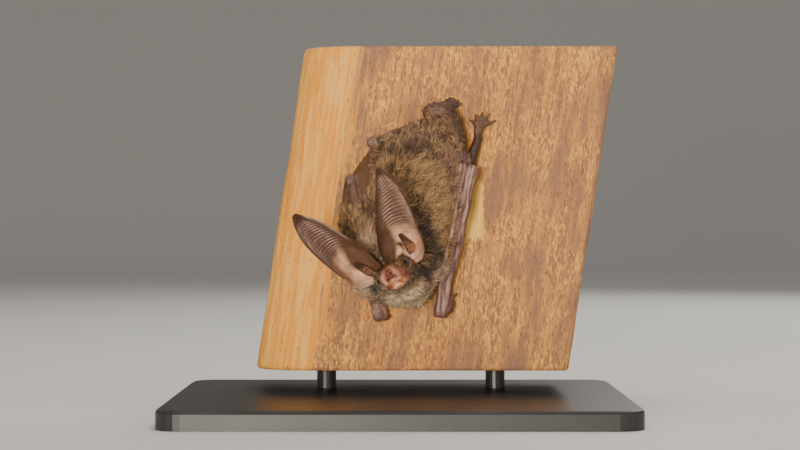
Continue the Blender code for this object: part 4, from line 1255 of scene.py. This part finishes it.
def lieOf(p, n):
    # the guides' directions weighted by nearness, swept a little by noise, laid on the skin
    place, way = (np.array(v, float) for v in zip(*coatLie))
    weight = 1 / (((p[:, None] - place[None]) ** 2).sum(-1) + 3.0) ** 2
    flow = unit(weight @ unit(way))
    for share, size, seed in (coatValues["clump"], coatValues["drift"]):
        flow = flow + share * np.stack([ripple(p, size, seed + k) for k in range(3)], 1)
    return unit(flow - n * (flow * n).sum(-1, keepdims=True))


def byFace(name, small):
    # a value of the coat that goes from its first number on the back to its second by the muzzle
    back, face = coatValues[name]
    return back * (1 - small) + face * small


def coatRoots(mesh, random):
    # roots spread by area and by a density that falls where the coat is bare or hidden
    corners = read(mesh.polygons, "vertices", 3, np.int32)
    uv = read(mesh.uv_layers["OFBake"].data, "uv", 2).reshape(-1, 3, 2)
    points, normals, share = local(pointsOf(mesh)), normalsOf(mesh) * (1, -1, 1), marksOf(mesh)
    a, b, c = (points[corners[:, k]] for k in range(3))
    area = np.linalg.norm(np.cross(b - a, c - a), axis=1) / 2
    middle = (a + b + c) / 3
    off = unit(normals[corners].sum(1))[:, 1]
    back, face = coatValues["density"]
    density = back + (face - back) * smallness(middle)
    hidden = ease(-0.15, -0.5, off) * ease(7.5, 6.0, middle[:, 1])
    density = density + (coatValues["hiddenDensity"] - density) * hidden
    wanted = area * (density * furShare(middle, share[corners].mean(1)))
    roots = random.choice(len(corners), int(wanted.sum()), p=wanted / wanted.sum())
    s, t = random.random((2, len(roots)))
    s, t = np.where(s + t > 1, 1 - s, s), np.where(s + t > 1, 1 - t, t)
    w = np.stack([1 - s - t, s, t], 1)[..., None]
    point, normal, mark = ((values[corners[roots]] * w).sum(1) for values in (points, normals, share))
    return point, unit(normal), mark, (uv[roots] * w).sum(1)


def furShare(p, share):
    # 1 where the coat is full and little on the tail and flank skin; the face, eyes and wings stay clear
    full = ease(0.15, 0.5, share[:, 1]) * ease(1.2, 1.5, atEyes(p)) * (1 - ease(0.25, 0.6, share[:, 2]))
    bare = ease(0.4, 0.1, share[:, 1]) * ease(0.3, 0.1, share[:, 2]) * (1 - share[:, 3])
    sparse = 0.07 * bare * ease(15.5, 17.5, p[:, 2]) * (1 - atKnobs(p))
    sparse += 0.3 * bare * ease(17, 19, p[:, 2]) * ease(3, 5, p[:, 0])
    return sparse + full * (1 - 0.8 * clamped(1.3 * besideElbow(p)))


def smallness(p):
    # 1 by the muzzle, 0 on the back
    return ease(9.5, 3.5, farFrom(inHead(p), (0, 1.0, -0.5)))


def tuftsAt(root, normal, lie, length, width, rise, curl):
    # each tuft is a tapering three-sided lock: centre line rises, then lies over; 3 rings and a tip
    t = np.array([0, 0.36, 0.72, 1.0])
    side = unit(np.cross(lie, normal))
    height = np.sin(np.pi / 2 * t)[None, :, None] * rise[:, None, None]
    along = t[None, :, None] * length[:, None, None]
    bend = (t**2)[None, :, None] * (curl * length)[:, None, None]
    sunk = np.minimum(coatValues["sunk"], 0.35 * rise)[:, None, None]
    line = root[:, None] + lie[:, None] * along + normal[:, None] * (height - sunk) + side[:, None] * bend
    way = unit(np.gradient(line, axis=1))
    over = unit(np.cross(side[:, None], way))
    across = np.cross(way, over)
    spin = np.radians([90, 210, 330])[:, None]
    half = width[:, None, None, None] / 2 * np.array([0.75, 1.0, 0.62])[None, :, None, None]
    corner = across[:, :3, None] * np.cos(spin) + 0.55 * over[:, :3, None] * np.sin(spin)
    ring = line[:, :3, None] + half * corner
    return np.concatenate([ring.reshape(len(root), 9, 3), line[:, 3:]], 1)


tuftFaces = np.vstack([
    [[0, 2, 1]],
    *[quad[[[0, 1, 2], [0, 2, 3]]] for quad in gridFaces(3, 3, wrap=True)],
    [[6, 7, 9], [7, 8, 9], [8, 6, 9]],
])
tuftPatch = np.vstack([np.stack([np.tile([0, 1, -1], 3), np.repeat([-1, -0.3, 0.4], 3)], 1), [[0, 1]]])
tuftPatch = tuftPatch * 0.0015  # where a tuft's points lie on the map, round its root's place


def addTufts(name, tufts, colours, uv):
    # joined tufts; each has a small patch of the map at its root's place
    starts = tufts.shape[1] * np.arange(len(tufts))[:, None, None]
    # off is measured towards the viewer, which mirrors the frame, so the faces are turned over
    faces = (tuftFaces[None, :, ::-1] + starts).reshape(-1, 3)
    piece = addPiece(name, at(*tufts.reshape(-1, 3).T), faces, [coatHair], colours.reshape(-1, 3))
    patches = (uv[:, None] + tuftPatch[None]).reshape(-1, 2)
    layer = piece.data.uv_layers.new(name="OFBake")
    layer.data.foreach_set("uv", patches[faces.ravel()].astype(np.float32).ravel())
    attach(piece, "root")


def tuftColours(root, small, spread, lock, guard):
    # each tuft's own tone of the coat: dark at the root, partly the hairs' dark bases and partly painted shade
    # deep in the coat; pale at the tip where the coat isn't black; lighter in raised locks as painted light
    # random tone per tuft, with painted light and shade by lock: raised locks lighter, low ones darker
    base = coatTone(root) * np.clip(1.0 + 1.5 * (spread - 1) + 0.6 * lock, 0.15, 2.2)[:, None]
    base *= np.minimum(1, 0.93 / base.max(1))[:, None]
    base = mix(base, mix("wing", "toe", 0.5), 0.6 * clamped(1.3 * besideElbow(root)))
    share = ease(0.03, 0.12, base[:, 1]) * (1 - 0.6 * small) * np.clip(0.9 * guard + 0.2 * lock, 0, 0.9)
    tip = mix(np.minimum(base * 1.15, 0.95), np.maximum(tones["coatTip"], base * 1.2), share)
    pale = ease(0.25, 0.6, base[:, 1])[:, None]
    # the root's dark is partly the hairs' own and partly painted shade deep in the coat
    shades = [base * (0.2 + 0.35 * pale), base * (0.6 + 0.25 * pale), mix(base, tip, 0.55), tip]
    return np.stack(shades[:1] * 3 + shades[1:2] * 3 + shades[2:3] * 3 + shades[3:], 1)


random = np.random.default_rng(coatValues["seed"])
root, normal, share, rootUv = coatRoots(skin.data, random)
small, lock = smallness(root), ripple(root, coatValues["lock"], 87)
depth = np.clip(share[:, 0] * 2, 0.12, coatValues["deepest"])
count = len(root)
spread = random.normal(1, 0.2, (4, count))
stands = random.random(count) < coatValues["flyaway"]
guard = random.random(count) > 1 - coatValues["guard"] - 0.12 * np.clip(lock, -1, 1)
short = 1 - 0.5 * ease(16, 21, root[:, 2])  # on the rump
short = short - 0.25 * ease(7, 10, root[:, 0]) * ease(3, 9, root[:, 2])  # by the left arm
long = coatValues["length"][0] * (0.35 + 0.65 * depth / coatValues["deepest"])
length = (long * (1 - small) + coatValues["length"][1] * small) * np.clip(spread[0], 0.5, 1.32) * short
width = byFace("width", small) * np.clip(spread[1], 0.6, 1.5) * (1 + (coatValues["guardWidth"] - 1) * guard)
lift = 0.52 + 0.25 * random.random(count) + 0.14 * lock + 0.16 * guard + 0.12 * stands
rise = depth * short * np.clip(lift, 0.1, 1.1)
tufts = tuftsAt(root, normal, lieOf(root, normal), length, width, rise, 0.9 * (spread[2] - 1))
colours = tuftColours(root, small, spread[3], lock, guard)
order = np.argsort(root[:, 2] + 0.3 * root[:, 0], kind="stable")
for number, chosen in enumerate(np.array_split(order, math.ceil(count / coatValues["perPiece"]))):
    addTufts("coat%02d" % (number + 1), tufts[chosen], colours[chosen], rootUv[chosen])
print("coat of", count, "tufts in", number + 1, "pieces")


# the perch: an old timber with worn faces, its section carried up the lean

timberValues = dict(
    left=-30.0,  # mm, its sides level with the bat's middle
    right=46.0,
    thick=38.0,
    wane=(14.5, 11.0),  # worn round arris: across, and back from the face
    arris=1.6,
    lean=8.6,  # degrees from upright
    step=0.42,  # mm between points on the bat's face
    grain=0.13,  # mm, depth of the worn grain
    hollow=0.3,  # mm, slow unevenness
    endRings=(0.985, 0.93, 0.75, 0.5, 0.25, 0.0),  # how far each ring of a cut end is drawn in to its middle
    cracks=[  # across, depth, half width
        (-19.5, 0.7, 0.2), (-27.0, 0.5, 0.15), (14.0, 0.5, 0.14), (31.5, 0.9, 0.2),
        (24.5, 0.5, 0.13), (-12.0, 0.4, 0.12), (39.5, 0.5, 0.15),
    ],
)
leanRate = math.tan(math.radians(timberValues["lean"]))


def cornerArc(x, y, rx, ry, start, count):
    # a quarter of an ellipse round x, y, from an angle in degrees on
    a = np.radians(np.linspace(start, start + 90, count))
    return np.stack([x + rx * np.cos(a), y + ry * np.sin(a)], 1)


def straight(first, last, step):
    # points between two ends, without the ends
    count = max(2, int(np.linalg.norm(np.subtract(last, first)) / step))
    return np.linspace(first, last, count + 1)[1:-1]


def timberOutline():
    # the section from above, anticlockwise: worn round, face, and three plain sides with small rounds
    v = timberValues
    (wide, deep), r = v["wane"], v["arris"]
    left, right, back = v["left"], v["right"] - r, v["thick"] - r
    arcs = [
        cornerArc(left + wide, deep, wide, deep, 180, 40),
        cornerArc(right, r, r, r, 270, 7),
        cornerArc(right, back, r, r, 0, 7),
        cornerArc(left + r, back, r, r, 90, 7),
    ]
    parts = []
    for k, coarser in enumerate((1, 2, 3, 2)):
        parts += [arcs[k], straight(arcs[k][-1], arcs[(k + 1) % 4][0], coarser * v["step"])]
    return np.vstack(parts)


def grainAlong(across, up, size, stretch, seed):
    # noise drawn out along the grain
    flat = np.stack([across / size, up / (size * stretch), 0 * up], -1)
    return ripple(flat, 1.0, seed, 26)


def timberWear(x, y, z):
    # how far each point is worn in, in mm: grain, slow hollows and cracks that wander and fade
    v = timberValues
    around = x + 0.9 * y
    ridges = 1 - np.abs(grainAlong(around, z, 1.1, 14, 91))
    worn = v["grain"] * (ridges**2 + 0.6 * (0.5 + 0.5 * grainAlong(around, z, 0.5, 22, 92)))
    worn += v["hollow"] * (0.5 + 0.5 * grainAlong(around, z, 9, 3, 93)) ** 2
    for k, (place, depth, half) in enumerate(v["cracks"]):
        middle = place + 0.35 * np.sin(z / 9 + k) + 0.18 * np.sin(z / 2.7 + 2 * k)
        fade = ease(0.0, 0.5, np.sin(z / (13 + 3 * k) + 1.7 * k) + 0.25)
        worn += depth * fade * np.exp(-(((x - middle) / half) ** 2)) * (y < 12)
    return worn


def cutEnd(x, y, z, way):
    # rings drawn in from the outline to its middle, worn a little inwards along way
    middle = np.array([x.mean(), y.mean()])
    outer = 0 if way > 0 else -1
    rings = []
    for shrink in timberValues["endRings"]:
        ring = np.stack([*(m + (v[outer] - m) * shrink for m, v in zip(middle, (x, y))), z[outer]], -1)
        ring[:, 2] += way * 0.08 * (0.5 + 0.5 * ripple(ring, 5, 94)) * (shrink < 0.95)
        rings.append(ring)
    return rings[::-1] if way > 0 else rings


def makeTimber():
    # the outline at each height, worn in, leant over, and closed by its two cut ends
    low, high = (c[2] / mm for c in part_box("perch_beam"))
    outline = timberOutline()
    inward = unit(np.stack([-np.gradient(outline[:, 1]), np.gradient(outline[:, 0])], 1))
    rows = np.linspace(low, high, int((high - low) / timberValues["step"]))
    x, z = np.broadcast_arrays(outline[None, :, 0], rows[:, None])
    y = np.broadcast_to(outline[None, :, 1], x.shape)
    edge = np.minimum(z - low, high - z)
    worn = timberWear(x, y, z - batHeight) + 0.5 * ease(0.9, 0.0, edge) ** 2 + 0.03
    x, y = (flat + inward[None, :, axis] * worn for axis, flat in enumerate((x, y)))
    grid = np.concatenate([cutEnd(x, y, z, 1), np.stack([x, y, z], -1), cutEnd(x, y, z, -1)])
    grid[..., 0] += (grid[..., 2] - batHeight) * leanRate
    rows, columns, capRows = len(grid), grid.shape[1], len(timberValues["endRings"])
    quads = gridFaces(rows, columns, wrap=True)
    ends = (quads.max(1) < (capRows + 1) * columns) | (quads.min(1) >= (rows - capRows - 1) * columns)
    piece = addPiece("timber", grid.reshape(-1, 3) * mm, quads, [oldTimber, sawnEnd])
    piece.data.polygons.foreach_set("material_index", ends.astype(np.int32))
    outwards(piece.data)
    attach(piece, "root")
    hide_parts("perch_beam")
    return piece


def grainGroup():
    # coordinates that run along the lean, with streaks, flecks and slow patches drawn from them
    names = ("Streak", "Fleck", "Patch", "Fibre", "Across")
    group, start, end = newGroup("timberGrain", "Lean", leanRate, names)
    x, y, z = addNode(group, "SeparateXYZ", {0: start["Vector"]}).outputs
    slid = calc(group, "MULTIPLY", calc(group, "SUBTRACT", z, batHeight * mm), start["Lean"])
    across = calc(group, "SUBTRACT", x, slid)
    upright = calc(group, "MULTIPLY_ADD", slid, 0.6, across)
    grains = dict(  # place across, sizes across and up in mm, detail, roughness
        Streak=(across, 1.3, 14, 4, 0.55),
        Fleck=(upright, 0.52, 1.4, 4, 0.7),
        Patch=(across, 10, 20, 3, 0.55),
        Fibre=(upright, 0.3, 1.5, 4, 0.75),
    )
    for name, (placed, wide, tall, detail, rough) in grains.items():
        stretched = ((placed, wide), (y, wide), (z, tall))
        axes = [calc(group, "MULTIPLY", value, 1000 / size) for value, size in stretched]
        place = result(group, "CombineXYZ", dict(enumerate(axes)))
        wire(group, end, {name: noise(group, place, 1.0, detail, rough)})
    wire(group, end, {"Across": across})
    return group


timberGrain = grainGroup()

timberTones = dict(
    fresh=(0.86, 0.34, 0.040),  # the clean strip down the worn arris
    pale=(0.95, 0.50, 0.120),
    tan=(0.70, 0.30, 0.080),
    patina=(0.38, 0.175, 0.086),
    grey=(0.33, 0.175, 0.107),
    gold=(0.90, 0.47, 0.10),
    flaked=(1.0, 0.66, 0.17),
    flakedLow=(0.92, 0.48, 0.09),
    stain=(0.085, 0.045, 0.032),
    dark=(0.21, 0.09, 0.04),
)
flakedPatch = dict(left=15.6, right=20.2, low=-4.0, high=11.0)  # mm, where the old surface has come away


def flakedMask(tree, place, fleck):
    # 1 inside the patch, its edges broken up by the flecks
    x, y, z = addNode(tree, "SeparateXYZ", {0: place}).outputs
    acrossBroken = calc(tree, "MULTIPLY_ADD", fleck, 3 * mm, x)
    upBroken = calc(tree, "MULTIPLY_ADD", fleck, 9 * mm, z)
    v = flakedPatch
    edges = (  # value, where the edge starts, and how wide it is, in mm
        (acrossBroken, v["left"] + 1.5, 0.3),
        (acrossBroken, v["right"] + 1.5, -0.3),
        (upBroken, v["low"] + batHeight + 4.5, 0.8),
        (upBroken, v["high"] + batHeight + 4.5, -0.8),
        (y, 12, -2),
    )
    share = 1.0
    for value, start, wide in edges:
        share = calc(tree, "MULTIPLY", masked(tree, value, start * mm, (start + wide) * mm), share)
    return share


def wornColour(tree, place, grain):
    # old brown with golden flecks, a clean strip down the arris, and the flaked patch
    streak, fleck, patch, fibre, across = grain[:5]
    t = timberTones
    worn = laidOver(tree, t["tan"], t["patina"], streak, 0.40, 0.58)
    worn = laidOver(tree, worn, t["grey"], patch, 0.42, 0.75)
    golden = calc(tree, "MULTIPLY", masked(tree, fleck, 0.50, 0.57), masked(tree, patch, 0.62, 0.40))
    worn = blended(tree, golden, worn, t["gold"])
    worn = laidOver(tree, worn, t["dark"], fibre, 0.47, 0.36)
    flaked = laidOver(tree, t["flaked"], t["flakedLow"], streak, 0.42, 0.60)
    worn = blended(tree, flakedMask(tree, place, fleck), worn, flaked)
    clean = laidOver(tree, t["fresh"], t["pale"], streak, 0.40, 0.66)
    clean = laidOver(tree, clean, t["stain"], fleck, 0.63, 0.70)
    wavy = calc(tree, "MULTIPLY_ADD", streak, 0.009, across)
    colour = laidOver(tree, worn, clean, wavy, -0.0095, -0.0122)
    specks = calc(tree, "MULTIPLY", masked(tree, fibre, 0.66, 0.76), 0.6)
    return blended(tree, specks, colour, t["stain"])


def ringColour(tree, place, grain):
    # year rings round the timber's heart
    heart = result(tree, "Mapping", {"Vector": place, "Location": (0.01, -0.055, 0)})
    values = {"Vector": heart, "Scale": 260, "Distortion": 2.2, "Detail": 3, "Detail Scale": 0.6}
    rings = addNode(tree, "TexWave", values, wave_type="RINGS", rings_direction="Z").outputs["Fac"]
    return laidOver(tree, timberTones["tan"], timberTones["patina"], rings, 0.2, 0.9)


def timberMaterial(name, colourOf):
    # wood with that colour, rough along its fibres
    m, tree, shader = newMaterial(name)
    place = objectPlace(tree)
    grain = addNode(tree, "Group", {"Vector": place}, node_tree=timberGrain).outputs
    height = calc(tree, "MULTIPLY_ADD", grain["Fleck"], 0.6, grain["Fibre"])
    wire(tree, shader, {
        "Base Color": colourOf(tree, place, grain),
        "Normal": bump(tree, height, 0.55, 0.35 * mm),
        "Roughness": result(tree, "MapRange", {"Value": grain["Patch"], "To Min": 0.62, "To Max": 0.85}),
        "Specular IOR Level": 0.3,
    })
    return m


oldTimber = timberMaterial("oldTimber", wornColour)
sawnEnd = timberMaterial("sawnEnd", ringColour)
timber = makeTimber()
print("timber,", len(timber.data.polygons), "faces")


# the stand: satin black paint with a fine orange-peel

standPaint, tree, shader = newMaterial("standPaint")
place = objectPlace(tree)
dust = noise(tree, place, 60, 5)
wire(tree, shader, {
    "Normal": bump(tree, noise(tree, place, 1400), 0.12, 0.1 * mm),
    "Base Color": blended(tree, masked(tree, dust, 0.4, 0.8), (0.018, 0.018, 0.019), (0.03, 0.029, 0.028)),
    "Roughness": result(tree, "MapRange", {"Value": dust, "To Min": 0.32, "To Max": 0.5}),
})
for name in sorted(nodes):
    if name.startswith("stand_"):
        for slot in nodes[name].material_slots:
            slot.material = standPaint
print("stand finished")


# stage, light and camera

stageValues = dict(points=61, half=4.0, flat=1.6, rise=0.9)  # metres; flat to there, then a bowl all round
floorMaterial, tree, shader = newMaterial("paleFloor")
wire(tree, shader, {"Base Color": (0.78, 0.77, 0.74, 1), "Roughness": 0.85})
run = np.linspace(-stageValues["half"], stageValues["half"], stageValues["points"])
x, y = np.meshgrid(run, run)
past = clamped((np.hypot(x, y) - stageValues["flat"]) / (stageValues["half"] - stageValues["flat"]))
ground = np.stack([x, y, stageValues["rise"] * (1 - np.cos(np.pi * past))], -1).reshape(-1, 3)
floor = addPiece("floor", ground, gridFaces(len(run), len(run)), [floorMaterial])

lights = dict(  # place, size in metres, watts, colour
    key=((-0.15, -0.72, 0.02), 0.16, 8.3, (1.0, 0.91, 0.78)),
    fill=((0.62, -0.42, 0.20), 0.6, 1.0, (1.0, 0.94, 0.86)),
    top=((0.05, -0.05, 0.62), 0.5, 2.2, (1.0, 0.95, 0.88)),
    back=((0.30, 0.60, 0.45), 0.5, 2.0, (1.0, 0.97, 0.94)),
)
aim = Vector((0, -0.01, 0.045))
for name, (place, size, power, colour) in lights.items():
    lamp = bpy.data.lights.new(name, "AREA")
    lamp.size, lamp.energy, lamp.color = size, power, colour
    holder = shown(name, lamp)
    holder.location = place
    holder.rotation_euler = (aim - Vector(place)).to_track_quat("-Z", "Y").to_euler()
world = bpy.data.worlds.new("studio")
world.use_nodes = True
wire(world.node_tree, world.node_tree.nodes["Background"], {"Color": (1.0, 0.97, 0.93, 1), "Strength": 0.25})
bpy.context.scene.world = world

cameraData = bpy.data.cameras.new("camera")
cameraData.lens, cameraData.sensor_width = 90, 36  # mm
cameraData.clip_start, cameraData.clip_end = 0.01, 10
camera = shown("camera", cameraData)
camera.location = (0, -earValues["sightLength"] * mm, batHeight * mm)
camera.rotation_euler = (math.radians(90), 0, 0)
bpy.context.scene.camera = camera
